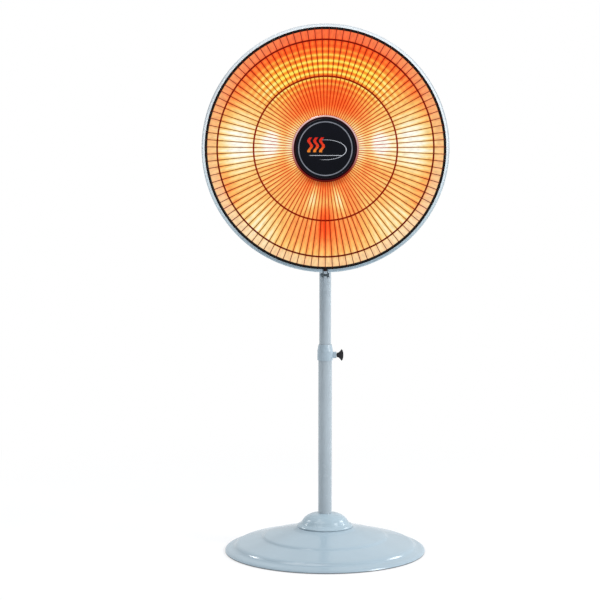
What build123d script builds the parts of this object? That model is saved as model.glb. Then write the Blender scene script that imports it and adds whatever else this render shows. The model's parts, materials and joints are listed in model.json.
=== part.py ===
from build123d import *

import math
import os

# Carbon heater on a telescopic pole. Lengths are in millimetres, +Z is up, the floor is z = 0, the pole's
# axis is the Z axis and the dish looks along -Y. The head's own pieces are drawn in the head frame: its origin
# is the dish centre, x points to the viewer's right, y points up and z points forwards, out of the dish.

# Clearances
RUNNING_FIT = 0.05  # radial, shaft in bore
SLIDING_FIT = 0.3  # radial, tube in tube
MOVING_GAP = 0.5  # beside pieces that move past each other
WELD_GAP = 0.05  # between wires and the rings that they are spot welded to
CUT_OVERRUN = 2.0  # how far a cutter passes the face that it opens

# Base shell: its outline is given as shares of its radius and height, from the rim inwards
BASE_RADIUS = 187.5
BASE_HEIGHT = 46.6
SHELL_WALL = 2.5
SHELL_OUTER_SHARES = [
    (1.0, 0.017), (1.0, 0.05), (0.995, 0.088), (0.982, 0.122), (0.962, 0.148), (0.938, 0.17),
    (0.916, 0.2), (0.902, 0.236), (0.892, 0.28), (0.88, 0.315), (0.862, 0.342), (0.645, 0.538),
    (0.628, 0.562), (0.617, 0.595), (0.606, 0.625), (0.588, 0.648), (0.32, 0.9), (0.267, 1.0),
]
SHELL_INNER_SHARES = [(0.938, 0.17), (0.63, 0.558), (0.32, 0.9)]
SHELL_BOSS_COUNT = 4
SHELL_BOSS_ANGLE = 45.0
SHELL_BOSS_INSET = 59.5
SHELL_BOSS_RADIUS = 6.0
CORD_ARCH_RADIUS = 8.0
CORD_ARCH_LENGTH = 59.5

# Ballast, feet and screws under the base
FOOT_HEIGHT = 4.0
FOOT_RADIUS = 11.0
FOOT_INSET = 41.5
FOOT_COUNT = 5
FOOT_ANGLE = 90.0
FOOT_DRAFT = 1.0
BALLAST_INSET = 27.5
BALLAST_THICKNESS = 4.0
SHELL_SCREW_RADIUS = 2.0
SHELL_SCREW_HEAD_RADIUS = 4.0
SHELL_SCREW_HEAD_HEIGHT = 2.0
SHELL_SCREW_BITE = 8.0

# Pole socket that stands on the ballast plate
SOCKET_FLANGE_RADIUS = 38.0
SOCKET_FLANGE_THICKNESS = 4.0
SOCKET_SLEEVE_HEIGHT = 44.0
SOCKET_SLEEVE_WALL = 3.0
SOCKET_BOLT_COUNT = 3
SOCKET_BOLT_ANGLE = 30.0
SOCKET_BOLT_CIRCLE = 29.0
SOCKET_BOLT_RADIUS = 2.5
SOCKET_BOLT_HEAD_RADIUS = 4.6
SOCKET_BOLT_HEAD_HEIGHT = 3.0

# Dome cover that hides the pole's foot
DOME_RADIUS = 52.0
DOME_HEIGHT = 24.8
DOME_WALL = 2.0
DOME_OUTER_SHARES = [
    (1.0, 0.0), (1.0, 0.06), (0.975, 0.125), (0.92, 0.185), (0.865, 0.265), (0.828, 0.375), (0.79, 0.5),
    (0.735, 0.64), (0.65, 0.78), (0.53, 0.9), (0.4, 0.97), (0.27, 1.0),
]
DOME_INNER_SHARES = [(0.53, 0.9), (0.735, 0.64), (0.828, 0.375), (0.92, 0.185)]

# Telescopic pole
LOWER_TUBE_RADIUS = 12.7
LOWER_TUBE_WALL = 1.2
LOWER_TUBE_TOP = 377.0
UPPER_TUBE_RADIUS = 11.0
UPPER_TUBE_WALL = 1.0
UPPER_TUBE_BOTTOM = 245.0
UPPER_TUBE_TOP = 655.0
GUIDE_LENGTH = 20.0
GUIDE_FLANGE = 2.0

# Height collar and its thumbscrew
COLLAR_WALL = 1.8
COLLAR_SKIRT = 17.0
COLLAR_CONE = 12.0
COLLAR_LIP = 2.4
COLLAR_BOSS_REACH = 21.0
COLLAR_BOSS_RADIUS = 6.0
LOCK_DROP = 7.5  # from the lower tube's top to the thumbscrew
LOCK_SCREW_RADIUS = 2.2
LOCK_PAD_RADIUS = 4.0
LOCK_PAD_THICKNESS = 1.5
LOCK_TRAVEL = 2.0
WING_REACH = 13.0
WING_HUB_RADIUS = 4.0
WING_HUB_LENGTH = 6.0
WING_SPAN = 21.6
WING_THICKNESS = 5.0
WING_SHARES = [
    (0.0, 1.0), (0.4, 0.98), (0.75, 0.9), (1.0, 0.74), (0.84, 0.62), (0.6, 0.46), (0.42, 0.27), (0.35, 0.04),
]

# Tip-over switch behind the pole, inside the base
TIP_SWITCH_WIDTH = 22.0
TIP_SWITCH_DEPTH = 16.0
TIP_SWITCH_HEIGHT = 20.0
TIP_SWITCH_Y = 66.0
TIP_SWITCH_WALL = 2.0
TIP_PLUNGER_RADIUS = 5.0
TIP_PLUNGER_COLLAR = 6.5
TIP_PLUNGER_TRAVEL = 5.0
TIP_PLUNGER_HEIGHT = 15.0

# Cord gland in the rear of the shell
GLAND_BORE = 3.5
GLAND_RADIUS = 6.0
GLAND_FLANGE_RADIUS = 7.4
GLAND_FLANGE_THICKNESS = 2.0
GLAND_LENGTH = 14.0

# Tilt joint at the top of the pole
TONGUE_HALF_THICKNESS = 5.0
TONGUE_RADIUS = 9.0
TILT_SOCKET_COLLAR = 3.0
TILT_EAR_CLEARANCE = 1.5  # between the socket's collar and the fork's ears
TILT_SOCKET_PLUG = 24.0
TILT_WASHER_THICKNESS = 1.0
TILT_WASHER_RADIUS = 8.0
TILT_EAR_THICKNESS = 3.0
TILT_EAR_RADIUS = 8.5
TILT_BOLT_RADIUS = 3.0
TILT_BOLT_HEAD_RADIUS = 5.4
TILT_BOLT_HEAD_HEIGHT = 3.5
TILT_NUT_RADIUS = 5.4
TILT_NUT_HEIGHT = 4.0
TILT_BOLT_TAIL = 1.5
MAST_SCREW_RADIUS = 1.8
MAST_SCREW_HEAD_RADIUS = 3.4
MAST_SCREW_HEAD_HEIGHT = 1.8
MAST_SCREW_DROP = 10.0
BRACKET_BRIDGE = 3.0
BRACKET_BOSS_RADIUS = 8.0
BRACKET_BOSS_HEIGHT = 8.0

# Swing post and the housing that turns on it
COVER_RADIUS = 66.0
COVER_WALL = 2.5
POST_RADIUS = 5.0
POST_GRIP = 8.0
BUSH_WALL = 2.0
BUSH_FLANGE = 1.5
BUSH_FLANGE_RADIUS = 9.0
BEARING_LENGTH = 16.0
BEARING_RADIUS = 12.0
ARM_THICKNESS = 4.0
ARM_HUB_RADIUS = 9.0
POST_CLIP_THICKNESS = 1.0
POST_CLIP_RADIUS = 7.0
POST_CLIP_GROOVE = 1.0
POST_TAIL = 1.6

# Crank that swings the head
CRANK_OFFSET = 28.0
CRANK_THROW = 16.0
CRANK_PIN_RADIUS = 2.5
CRANK_DISC_RADIUS = 20.0
CRANK_DISC_THICKNESS = 4.0
CRANK_SLOT_PLAY = 0.95
ARM_SLOT_MARGIN = 1.2
ARM_RIM = 3.0
MOTOR_RADIUS = 25.0
MOTOR_HEIGHT = 18.0
MOTOR_SHAFT_RADIUS = 3.0
MOTOR_PLATE_THICKNESS = 2.0
MOTOR_PLATE_HALF_WIDTH = 26.0
MOTOR_TAB_HEIGHT = 18.0
MOTOR_EAR_REACH = 5.0

# Rear housing of the head
HOUSING_PLATE_RADIUS = 60.0
HOUSING_PLATE_THICKNESS = 4.0
HOUSING_WEB_HALF_WIDTH = 8.0
HOUSING_SCREW_CIRCLE = 50.0
HOUSING_SCREW_COUNT = 4
HOUSING_SCREW_ANGLE = 45.0
HOUSING_SCREW_RADIUS = 2.0
HOUSING_SCREW_HEAD_RADIUS = 3.8
HOUSING_SCREW_HEAD_HEIGHT = 2.0
PILLAR_RADIUS = 4.0
PILLAR_CIRCLE = 46.0
PILLAR_ANGLES = (90.0, 198.0, 342.0)
COVER_BACK_RADIUS = 54.0
COVER_SHOULDER_RADIUS = 62.0
COVER_DEPTH = 88.0
COVER_SHOULDER_DEPTH = 14.0
COVER_PORT_PLAY = 1.5
COVER_SCREW_RADIUS = 1.6
COVER_SCREW_HEAD_RADIUS = 3.0
COVER_SCREW_HEAD_HEIGHT = 1.6
COVER_SCREW_BITE = 9.0
VENT_COUNT = 6
VENT_PITCH = 6.0
VENT_HALF_LENGTH = 24.0
VENT_HALF_WIDTH = 1.3
VENT_TOP = -9.0

# Controls on the rear cover
CONTROL_X = 28.0
CONTROL_Y = 18.0
CONTROL_BODY = 25.0
CONTROL_BODY_DEPTH = 20.0
SPINDLE_RADIUS = 3.0
SPINDLE_DEPTH = 9.0
KNOB_RADIUS = 11.0
KNOB_HEIGHT = 15.0
KNOB_SKIRT_RADIUS = 12.5
KNOB_SKIRT_HEIGHT = 2.5
KNOB_GRIP_HALF_WIDTH = 2.6
ROCKER_HALF_WIDTH = 5.5
ROCKER_HALF_LENGTH = 9.0
ROCKER_FRAME_WALL = 2.0
ROCKER_FRAME_PROUD = 1.5
ROCKER_DEPTH = 12.0
ROCKER_SWELL = 3.0
ROCKER_PIVOT_DEPTH = 2.0
ROCKER_PIN_RADIUS = 1.2
TERMINAL_WIDTH = 30.0
TERMINAL_HEIGHT = 14.0
TERMINAL_DEPTH = 12.0
TERMINAL_Y = 29.0
CUTOUT_RADIUS = 7.0
CUTOUT_DEPTH = 8.0
CUTOUT_X = 36.0
CUTOUT_Y = 10.0

# Dish: outer bowl, reflector and rim band
BOWL_BACK_FORWARD = 22.0  # how far the bowl's back stands in front of the swing axis
BOWL_WALL = 1.2
BOWL_FLAT_RADIUS = 68.0
BOWL_DEPTH = 60.0
BOWL_CURVE = 1.45
BOWL_BANDS = 4
DISH_FLANGE_RADIUS = 220.4
BOWL_FLANGE_WIDTH = 8.4
REFLECTOR_WALL = 0.8
REFLECTOR_FLAT_RADIUS = 57.0
REFLECTOR_STANDOFF = 6.0
REFLECTOR_INNER_CONE_RADIUS = 112.0
REFLECTOR_RING_PITCH = 10.3
REFLECTOR_RING_COUNT = 7
REFLECTOR_FLANGE_WIDTH = 11.4
REFLECTOR_CURVE = 1.35
BAND_SEAT = 0.4  # between the dish flanges and the band
BAND_WALL = 1.2
BAND_REAR_LIP = 6.0
BAND_FRONT_LIP = 5.4
BAND_SPLIT = 6.0
BAND_EAR_REACH = 11.0
BAND_EAR_THICKNESS = 1.6
BAND_SCREW_RADIUS = 2.0
BAND_SCREW_HEAD_RADIUS = 3.8
BAND_SCREW_HEAD_HEIGHT = 2.4
BAND_NUT_RADIUS = 4.0
BAND_NUT_HEIGHT = 3.2
BAND_SCREW_TAIL = 2.0

# Wire guard
HOOP_WIRE = 5.0
HOOP_INSET = 5.9
GUARD_WIRE_COUNT = 103
GUARD_WIRE = 1.3
RING_WIRE = 3.0
OUTER_RING_INSET = 20.5
INNER_RING_RADIUS = 128.0
GUARD_RISE = 26.0  # from the hoop's front to the wires at the centre
GUARD_KNEE_RISE = 19.5
GUARD_CENTRE_FALL = 0.6
HUB_RADIUS = 57.0  # to the middle of its rolled rim
HUB_RIM = 5.6
HUB_RIM_RISE = 3.2
HUB_RIM_STEPS = 6
HUB_PLATE = 1.2
HUB_WIRE_LAP = 9.0
CAP_RADIUS = 53.5
CAP_HEIGHT = 10.5
CAP_WALL = 2.0
CAP_EDGE = 2.5
CAP_CROWN = 3.5
CAP_STEPS = 5
CAP_EDGE_STEPS = 3
TRIM_RADIUS = 48.3
TRIM_WIDTH = 1.9
TRIM_HEIGHT = 1.4
TRIM_PROUD = 0.3
CAP_SCREW_RADIUS = 1.8
CAP_SCREW_HEAD_RADIUS = 3.4
CAP_SCREW_HEAD_HEIGHT = 1.6
CAP_SCREW_CIRCLE = 26.0
CAP_SCREW_COUNT = 3
CAP_SCREW_ANGLE = 90.0
CAP_POST_RADIUS = 4.0

# Heating elements in front of the reflector
ELEMENT_FORWARD = 30.0  # from the reflector's flat to the tubes' axes
ELEMENT_SPACING = 26.0
ELEMENT_RADIUS = 6.0
ELEMENT_WALL = 1.0
ELEMENT_HALF_LENGTH = 44.0
FILAMENT_RADIUS = 2.2
CERAMIC_RADIUS = 8.0
CERAMIC_LENGTH = 10.0
CERAMIC_LAP = 6.0
BRACKET_STRIP = 1.0
BRACKET_HALF_WIDTH = 22.0
BRACKET_SCREW_X = 12.0
BRACKET_SCREW_Y = 10.0
BRACKET_SCREW_RADIUS = 1.8
BRACKET_SCREW_HEAD_RADIUS = 3.4
BRACKET_SCREW_HEAD_HEIGHT = 1.6
BRACKET_SPACER_RADIUS = 4.0

# Places worked out from the sizes above
BALLAST_RADIUS = BASE_RADIUS - BALLAST_INSET
FOOT_CIRCLE = BASE_RADIUS - FOOT_INSET
SHELL_BOSS_CIRCLE = BASE_RADIUS - SHELL_BOSS_INSET
CORD_ARCH_START = BASE_RADIUS - CORD_ARCH_LENGTH
LOCK_HEIGHT = LOWER_TUBE_TOP - LOCK_DROP
BOWL_MOUTH_RADIUS = DISH_FLANGE_RADIUS - BOWL_FLANGE_WIDTH
REFLECTOR_MOUTH_RADIUS = DISH_FLANGE_RADIUS - REFLECTOR_FLANGE_WIDTH
BAND_RADIUS = DISH_FLANGE_RADIUS + BAND_SEAT + BAND_WALL
HOOP_RADIUS = DISH_FLANGE_RADIUS - HOOP_INSET
OUTER_RING_RADIUS = HOOP_RADIUS - OUTER_RING_INSET
BALLAST_TOP = FOOT_HEIGHT + BALLAST_THICKNESS
SOCKET_FLANGE_TOP = BALLAST_TOP + SOCKET_FLANGE_THICKNESS
LOWER_TUBE_BORE = LOWER_TUBE_RADIUS - LOWER_TUBE_WALL
TILT_HEIGHT = UPPER_TUBE_TOP + TILT_SOCKET_COLLAR + TILT_EAR_CLEARANCE + TILT_EAR_RADIUS
BRIDGE_BOTTOM = TILT_HEIGHT + TONGUE_RADIUS + MOVING_GAP
BUSH_BOTTOM = BRIDGE_BOTTOM + BRACKET_BRIDGE + BRACKET_BOSS_HEIGHT
COVER_BOTTOM = BUSH_BOTTOM - COVER_WALL
HEAD_HEIGHT = COVER_BOTTOM + COVER_RADIUS
BEARING_BOTTOM = BUSH_BOTTOM + BUSH_FLANGE
BEARING_TOP = BEARING_BOTTOM + BEARING_LENGTH
ARM_BOTTOM = BEARING_TOP + MOVING_GAP
ARM_TOP = ARM_BOTTOM + ARM_THICKNESS
POST_BOTTOM = BUSH_BOTTOM - POST_GRIP
POST_TOP = ARM_TOP + POST_CLIP_THICKNESS + POST_TAIL
CRANK_DISC_BOTTOM = ARM_TOP + POST_CLIP_THICKNESS + MOVING_GAP
CRANK_DISC_TOP = CRANK_DISC_BOTTOM + CRANK_DISC_THICKNESS
MOTOR_PLATE_BOTTOM = CRANK_DISC_TOP + MOVING_GAP
MOTOR_PLATE_TOP = MOTOR_PLATE_BOTTOM + MOTOR_PLATE_THICKNESS
HOUSING_PLATE_BACK = BOWL_BACK_FORWARD - HOUSING_PLATE_THICKNESS
COVER_BACK = BOWL_BACK_FORWARD - COVER_DEPTH
COVER_BACK_INSIDE = COVER_BACK + COVER_WALL
BOWL_FLANGE_BACK = BOWL_BACK_FORWARD + BOWL_DEPTH
REFLECTOR_FLANGE_BACK = BOWL_FLANGE_BACK + BOWL_WALL
HOOP_BACK = REFLECTOR_FLANGE_BACK + REFLECTOR_WALL
HOOP_FORWARD = HOOP_BACK + HOOP_WIRE / 2
HOOP_FRONT = HOOP_BACK + HOOP_WIRE
REFLECTOR_BACK = BOWL_BACK_FORWARD + BOWL_WALL + REFLECTOR_STANDOFF
REFLECTOR_FRONT = REFLECTOR_BACK + REFLECTOR_WALL
GUARD_FRONT = HOOP_FRONT + GUARD_RISE
HUB_BACK = GUARD_FRONT + WELD_GAP
CAP_BACK = HUB_BACK + HUB_PLATE
CAP_FRONT = CAP_BACK + CAP_HEIGHT

LOW = (Align.CENTER, Align.CENTER, Align.MIN)
HEAD_FRAME = Location((0, 0, HEAD_HEIGHT), (90, 0, 0))


def turned(outline):
    """Solid turned about Z from the (radius, height) corners of a closed outline."""
    corners = [(radius, 0, height) for radius, height in outline]
    return revolve(make_face(Polyline(*corners, close=True)), Axis.Z)


def rod(radius, bottom, top, x=0.0, y=0.0):
    """Upright round bar between two heights."""
    return Pos(x, y, bottom) * Cylinder(radius, top - bottom, align=LOW)


def pipe(outer, inner, bottom, top):
    """Upright tube between two heights."""
    return rod(outer, bottom, top) - rod(inner, bottom, top)


def block(x_range, y_range, z_range):
    """Box between a low and a high value along each axis."""
    sizes = [high - low for low, high in (x_range, y_range, z_range)]
    middles = [(high + low) / 2 for low, high in (x_range, y_range, z_range)]
    return Pos(*middles) * Box(*sizes)


def screw(head_radius, head_height, shank_radius, length):
    """Round-headed screw: the head sits on z = 0 and the shank points down."""
    outline = [
        (0, -length), (shank_radius, -length), (shank_radius, 0),
        (head_radius, 0), (head_radius, head_height), (0, head_height),
    ]
    return turned(outline)


def along_x(shape):
    """Lay a piece drawn about Z along +X."""
    return Rot(0, 90, 0) * shape


def round_the_axis(shape, count, start=0.0):
    """Copies of a shape evenly spaced about Z."""
    return [Rot(0, 0, start + 360 / count * turn) * shape for turn in range(count)]


def on_circle(radius, count, start=0.0):
    """Evenly spaced (x, y) places on a circle."""
    angles = [math.radians(start + 360 / count * turn) for turn in range(count)]
    return [(radius * math.cos(angle), radius * math.sin(angle)) for angle in angles]


def shell_boss_places():
    """Places of the shell's screw bosses."""
    return on_circle(SHELL_BOSS_CIRCLE, SHELL_BOSS_COUNT, SHELL_BOSS_ANGLE)


def socket_bolt_places():
    """Places of the pole socket's bolts."""
    return on_circle(SOCKET_BOLT_CIRCLE, SOCKET_BOLT_COUNT, SOCKET_BOLT_ANGLE)


def housing_screw_places():
    """Places of the screws between the bowl and the gear housing, in the head frame."""
    return on_circle(HOUSING_SCREW_CIRCLE, HOUSING_SCREW_COUNT, HOUSING_SCREW_ANGLE)


def cap_screw_places():
    """Places of the screws between the hub plate and the cap, in the head frame."""
    return on_circle(CAP_SCREW_CIRCLE, CAP_SCREW_COUNT, CAP_SCREW_ANGLE)


def in_head(shape):
    """Move a piece from the head frame to its place on the pole."""
    return HEAD_FRAME * shape


def group(shapes):
    """Separate solids kept together under one name."""
    return Compound(children=[Solid(solid.wrapped) for shape in shapes for solid in shape.solids()])


# Base


def shell_height(radius):
    """Height of the shell's outer face at a radius."""
    line = [(share * BASE_RADIUS, height * BASE_HEIGHT) for share, height in SHELL_OUTER_SHARES]
    for (outer, low), (inner, high) in zip(line[1:], line[2:]):
        if inner <= radius <= outer:
            return low + (high - low) * (outer - radius) / (outer - inner)
    return BASE_HEIGHT


def base_shell():
    """Stepped moulded cover with screw bosses, a hole for the pole and an arch for the cord gland."""
    outer = [(share * BASE_RADIUS, height * BASE_HEIGHT) for share, height in SHELL_OUTER_SHARES]
    hole = LOWER_TUBE_RADIUS + SLIDING_FIT
    inner = [
        (share * BASE_RADIUS - SHELL_WALL / 2, height * BASE_HEIGHT - SHELL_WALL)
        for share, height in SHELL_INNER_SHARES
    ]
    top = [(hole, BASE_HEIGHT), (hole, BASE_HEIGHT - SHELL_WALL)]
    inner_rim = (BASE_RADIUS - SHELL_WALL, outer[0][1])
    shell = turned(outer + top + inner[::-1] + [inner_rim])
    boss_top = shell_height(SHELL_BOSS_CIRCLE + SHELL_BOSS_RADIUS) - SHELL_WALL / 2
    for x, y in shell_boss_places():
        shell += rod(SHELL_BOSS_RADIUS, BALLAST_TOP, boss_top, x, y)
    for x, y in shell_boss_places():
        shell -= rod(SHELL_SCREW_RADIUS, BALLAST_TOP - CUT_OVERRUN, BALLAST_TOP + SHELL_SCREW_BITE, x, y)
    wall_inside = arch_outer_face() - SHELL_WALL
    shell -= cord_arch(CORD_ARCH_RADIUS + SHELL_WALL, arch_outer_face(), BASE_RADIUS + CUT_OVERRUN)
    shell += cord_arch(CORD_ARCH_RADIUS + SHELL_WALL, CORD_ARCH_START, arch_outer_face())
    shell -= cord_arch(CORD_ARCH_RADIUS, CORD_ARCH_START - CUT_OVERRUN, wall_inside)
    bore = rod(GLAND_RADIUS + RUNNING_FIT, wall_inside - CUT_OVERRUN, BASE_RADIUS + CUT_OVERRUN)
    return shell - towards_rear(bore)


def gland_height():
    """Height of the cord gland's axis above the floor."""
    return FOOT_HEIGHT + GLAND_FLANGE_RADIUS


def towards_rear(shape):
    """Lay a piece drawn about Z along +Y, at the gland's height."""
    return Pos(0, 0, gland_height()) * (Rot(-90, 0, 0) * shape)


def cord_arch(radius, inner_end, outer_end):
    """Half-round hood on straight sides, from the floor side of the shell up over the gland's axis."""
    hood = towards_rear(rod(radius, inner_end, outer_end))
    hood += block((-radius, radius), (inner_end, outer_end), (FOOT_HEIGHT, gland_height()))
    return hood - rod(BALLAST_RADIUS + MOVING_GAP, 0, BALLAST_TOP)


def arch_outer_face():
    """Distance from the pole's axis to the arch's end wall, which the gland's flange covers."""
    return BASE_RADIUS - GLAND_FLANGE_THICKNESS


def cord_gland():
    """Flanged bush in the arch's end wall that the supply cord passes through."""
    body = rod(GLAND_RADIUS, BASE_RADIUS - GLAND_LENGTH, arch_outer_face())
    body += rod(GLAND_FLANGE_RADIUS, arch_outer_face(), BASE_RADIUS)
    body -= rod(GLAND_BORE, BASE_RADIUS - GLAND_LENGTH - CUT_OVERRUN, BASE_RADIUS + CUT_OVERRUN)
    return towards_rear(body)


def ballast_plate():
    """Steel disc that keeps the heater upright."""
    plate = rod(BALLAST_RADIUS, FOOT_HEIGHT, BALLAST_TOP)
    low, high = FOOT_HEIGHT - CUT_OVERRUN, BALLAST_TOP + CUT_OVERRUN
    for x, y in shell_boss_places():
        plate -= rod(SHELL_SCREW_RADIUS + RUNNING_FIT, low, high, x, y)
    for x, y in socket_bolt_places():
        plate -= rod(SOCKET_BOLT_RADIUS + RUNNING_FIT, low, high, x, y)
    return plate - rod(TIP_PLUNGER_RADIUS + MOVING_GAP, low, high, 0, TIP_SWITCH_Y)


def rubber_feet():
    """Round pads stuck under the ballast plate."""
    foot = turned([(0, 0), (FOOT_RADIUS - FOOT_DRAFT, 0), (FOOT_RADIUS, FOOT_HEIGHT), (0, FOOT_HEIGHT)])
    return group([Pos(x, y, 0) * foot for x, y in on_circle(FOOT_CIRCLE, FOOT_COUNT, FOOT_ANGLE)])


def shell_screws():
    """Screws that hold the shell down to the ballast plate, driven from below."""
    one = screw(SHELL_SCREW_HEAD_RADIUS, SHELL_SCREW_HEAD_HEIGHT, SHELL_SCREW_RADIUS - WELD_GAP,
                BALLAST_THICKNESS + SHELL_SCREW_BITE)
    one = Rot(180, 0, 0) * one
    return group([Pos(x, y, FOOT_HEIGHT) * one for x, y in shell_boss_places()])


def pole_socket():
    """Flange and sleeve that the lower tube stands on."""
    sleeve_radius = LOWER_TUBE_BORE - RUNNING_FIT
    socket = rod(SOCKET_FLANGE_RADIUS, BALLAST_TOP, SOCKET_FLANGE_TOP)
    socket += rod(sleeve_radius, BALLAST_TOP, SOCKET_FLANGE_TOP + SOCKET_SLEEVE_HEIGHT)
    socket -= rod(sleeve_radius - SOCKET_SLEEVE_WALL, BALLAST_TOP - CUT_OVERRUN,
                  SOCKET_FLANGE_TOP + SOCKET_SLEEVE_HEIGHT + CUT_OVERRUN)
    for x, y in socket_bolt_places():
        socket -= rod(SOCKET_BOLT_RADIUS + RUNNING_FIT, BALLAST_TOP - CUT_OVERRUN,
                      SOCKET_FLANGE_TOP + CUT_OVERRUN, x, y)
    return socket


def socket_bolts():
    """Bolts through the socket's flange into the ballast plate."""
    one = screw(SOCKET_BOLT_HEAD_RADIUS, SOCKET_BOLT_HEAD_HEIGHT, SOCKET_BOLT_RADIUS,
                SOCKET_FLANGE_THICKNESS + BALLAST_THICKNESS)
    places = socket_bolt_places()
    return group([Pos(x, y, SOCKET_FLANGE_TOP) * one for x, y in places])


def dome_cover():
    """Domed ring that slides down the pole and hides the hole in the shell."""
    bore = LOWER_TUBE_RADIUS + RUNNING_FIT
    outer = [(share * DOME_RADIUS, height * DOME_HEIGHT) for share, height in DOME_OUTER_SHARES]
    inner = [
        (share * DOME_RADIUS - DOME_WALL, height * DOME_HEIGHT - DOME_WALL)
        for share, height in DOME_INNER_SHARES
    ]
    top = [(bore, DOME_HEIGHT), (bore, DOME_HEIGHT - 2 * DOME_WALL)]
    foot = [(inner[-1][0], 0)]
    return Pos(0, 0, BASE_HEIGHT) * turned(outer + top + inner + foot)


def tip_switch_case():
    """Housing of the tip-over switch, open below for its plunger."""
    half_width, half_depth = TIP_SWITCH_WIDTH / 2, TIP_SWITCH_DEPTH / 2
    top = BALLAST_TOP + TIP_SWITCH_HEIGHT
    case = block((-half_width, half_width), (TIP_SWITCH_Y - half_depth, TIP_SWITCH_Y + half_depth),
                 (BALLAST_TOP, top))
    bore = TIP_PLUNGER_COLLAR + MOVING_GAP
    return case - rod(bore, BALLAST_TOP - CUT_OVERRUN, top - TIP_SWITCH_WALL, 0, TIP_SWITCH_Y)


def tip_plunger():
    """Plunger that the floor holds up and that drops when the heater is lifted or falls."""
    collar_low = BALLAST_TOP + TIP_PLUNGER_TRAVEL + MOVING_GAP
    plunger = rod(TIP_PLUNGER_RADIUS, 0, collar_low, 0, TIP_SWITCH_Y)
    return plunger + rod(TIP_PLUNGER_COLLAR, collar_low, TIP_PLUNGER_HEIGHT + MOVING_GAP, 0, TIP_SWITCH_Y)


# Pole


def lower_tube():
    """Outer tube of the pole, with a hole for the lock screw."""
    tube = pipe(LOWER_TUBE_RADIUS, LOWER_TUBE_BORE, SOCKET_FLANGE_TOP, LOWER_TUBE_TOP)
    hole = rod(LOCK_PAD_RADIUS + MOVING_GAP, 0, LOWER_TUBE_RADIUS + CUT_OVERRUN)
    return tube - Pos(0, 0, LOCK_HEIGHT) * along_x(hole)


def height_collar():
    """Moulded collar on the lower tube's top, with a cone, a wiper lip and a boss for the thumbscrew."""
    seat = LOWER_TUBE_RADIUS + RUNNING_FIT
    outer = seat + COLLAR_WALL
    lip = UPPER_TUBE_RADIUS + SLIDING_FIT
    low = LOWER_TUBE_TOP - COLLAR_SKIRT
    cone_top = LOWER_TUBE_TOP + COLLAR_CONE
    collar = turned([
        (seat, low), (outer, low), (outer, LOWER_TUBE_TOP), (lip + COLLAR_LIP / 2, cone_top), (lip, cone_top),
        (lip, LOWER_TUBE_TOP), (seat, LOWER_TUBE_TOP),
    ])
    collar += Pos(0, 0, LOCK_HEIGHT) * along_x(rod(COLLAR_BOSS_RADIUS, UPPER_TUBE_RADIUS, COLLAR_BOSS_REACH))
    collar -= rod(seat, low - CUT_OVERRUN, LOWER_TUBE_TOP)
    bore = rod(LOCK_SCREW_RADIUS + RUNNING_FIT, 0, COLLAR_BOSS_REACH + CUT_OVERRUN)
    bore += rod(LOCK_PAD_RADIUS + MOVING_GAP, 0, pad_inner() + LOCK_PAD_THICKNESS + LOCK_TRAVEL + MOVING_GAP)
    return collar - Pos(0, 0, LOCK_HEIGHT) * along_x(bore)


def upper_tube():
    """Inner tube of the pole, which carries the head."""
    tube = pipe(UPPER_TUBE_RADIUS, UPPER_TUBE_RADIUS - UPPER_TUBE_WALL, UPPER_TUBE_BOTTOM, UPPER_TUBE_TOP)
    return tube - mast_screw_hole()


def mast_guide():
    """Plastic shoe on the upper tube's foot that runs inside the lower tube."""
    plug = UPPER_TUBE_RADIUS - UPPER_TUBE_WALL - RUNNING_FIT
    shoe = LOWER_TUBE_BORE - RUNNING_FIT
    bore = plug - GUIDE_FLANGE
    low, high = UPPER_TUBE_BOTTOM - GUIDE_FLANGE, UPPER_TUBE_BOTTOM + GUIDE_LENGTH
    return turned([
        (bore, low), (shoe, low), (shoe, UPPER_TUBE_BOTTOM),
        (plug, UPPER_TUBE_BOTTOM), (plug, high), (bore, high),
    ])


def pad_inner():
    """How far from the pole's axis the clamp pad's nose lies."""
    return UPPER_TUBE_RADIUS + 2 * RUNNING_FIT


def lock_pad():
    """Pad that the thumbscrew presses against the upper tube."""
    pad = rod(LOCK_PAD_RADIUS, pad_inner(), pad_inner() + LOCK_PAD_THICKNESS)
    return Pos(0, 0, LOCK_HEIGHT) * along_x(pad)


def lock_screw():
    """Threaded stud of the thumbscrew."""
    stud = rod(LOCK_SCREW_RADIUS, pad_inner() + LOCK_PAD_THICKNESS + RUNNING_FIT,
               COLLAR_BOSS_REACH + WING_REACH - CUT_OVERRUN)
    return Pos(0, 0, LOCK_HEIGHT) * along_x(stud)


def wing_knob():
    """Fishtail knob moulded on the stud: a short round hub and a flat tail that flares outwards."""
    start = COLLAR_BOSS_REACH + MOVING_GAP
    reach = WING_REACH - MOVING_GAP
    hub = rod(WING_HUB_RADIUS, start, start + WING_HUB_LENGTH)
    edge = [(share * WING_SPAN / 2, start + length * reach) for share, length in WING_SHARES]
    mirrored = [(-across, outward) for across, outward in edge[:0:-1]]
    outline = make_face(Polyline(edge + mirrored, close=True))
    tail = Rot(90, 0, 0) * extrude(outline, WING_THICKNESS / 2, both=True)
    knob = hub + tail - rod(LOCK_SCREW_RADIUS, 0, COLLAR_BOSS_REACH + WING_REACH - CUT_OVERRUN)
    return Pos(0, 0, LOCK_HEIGHT) * along_x(knob)


# Tilt joint and swing post


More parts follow.
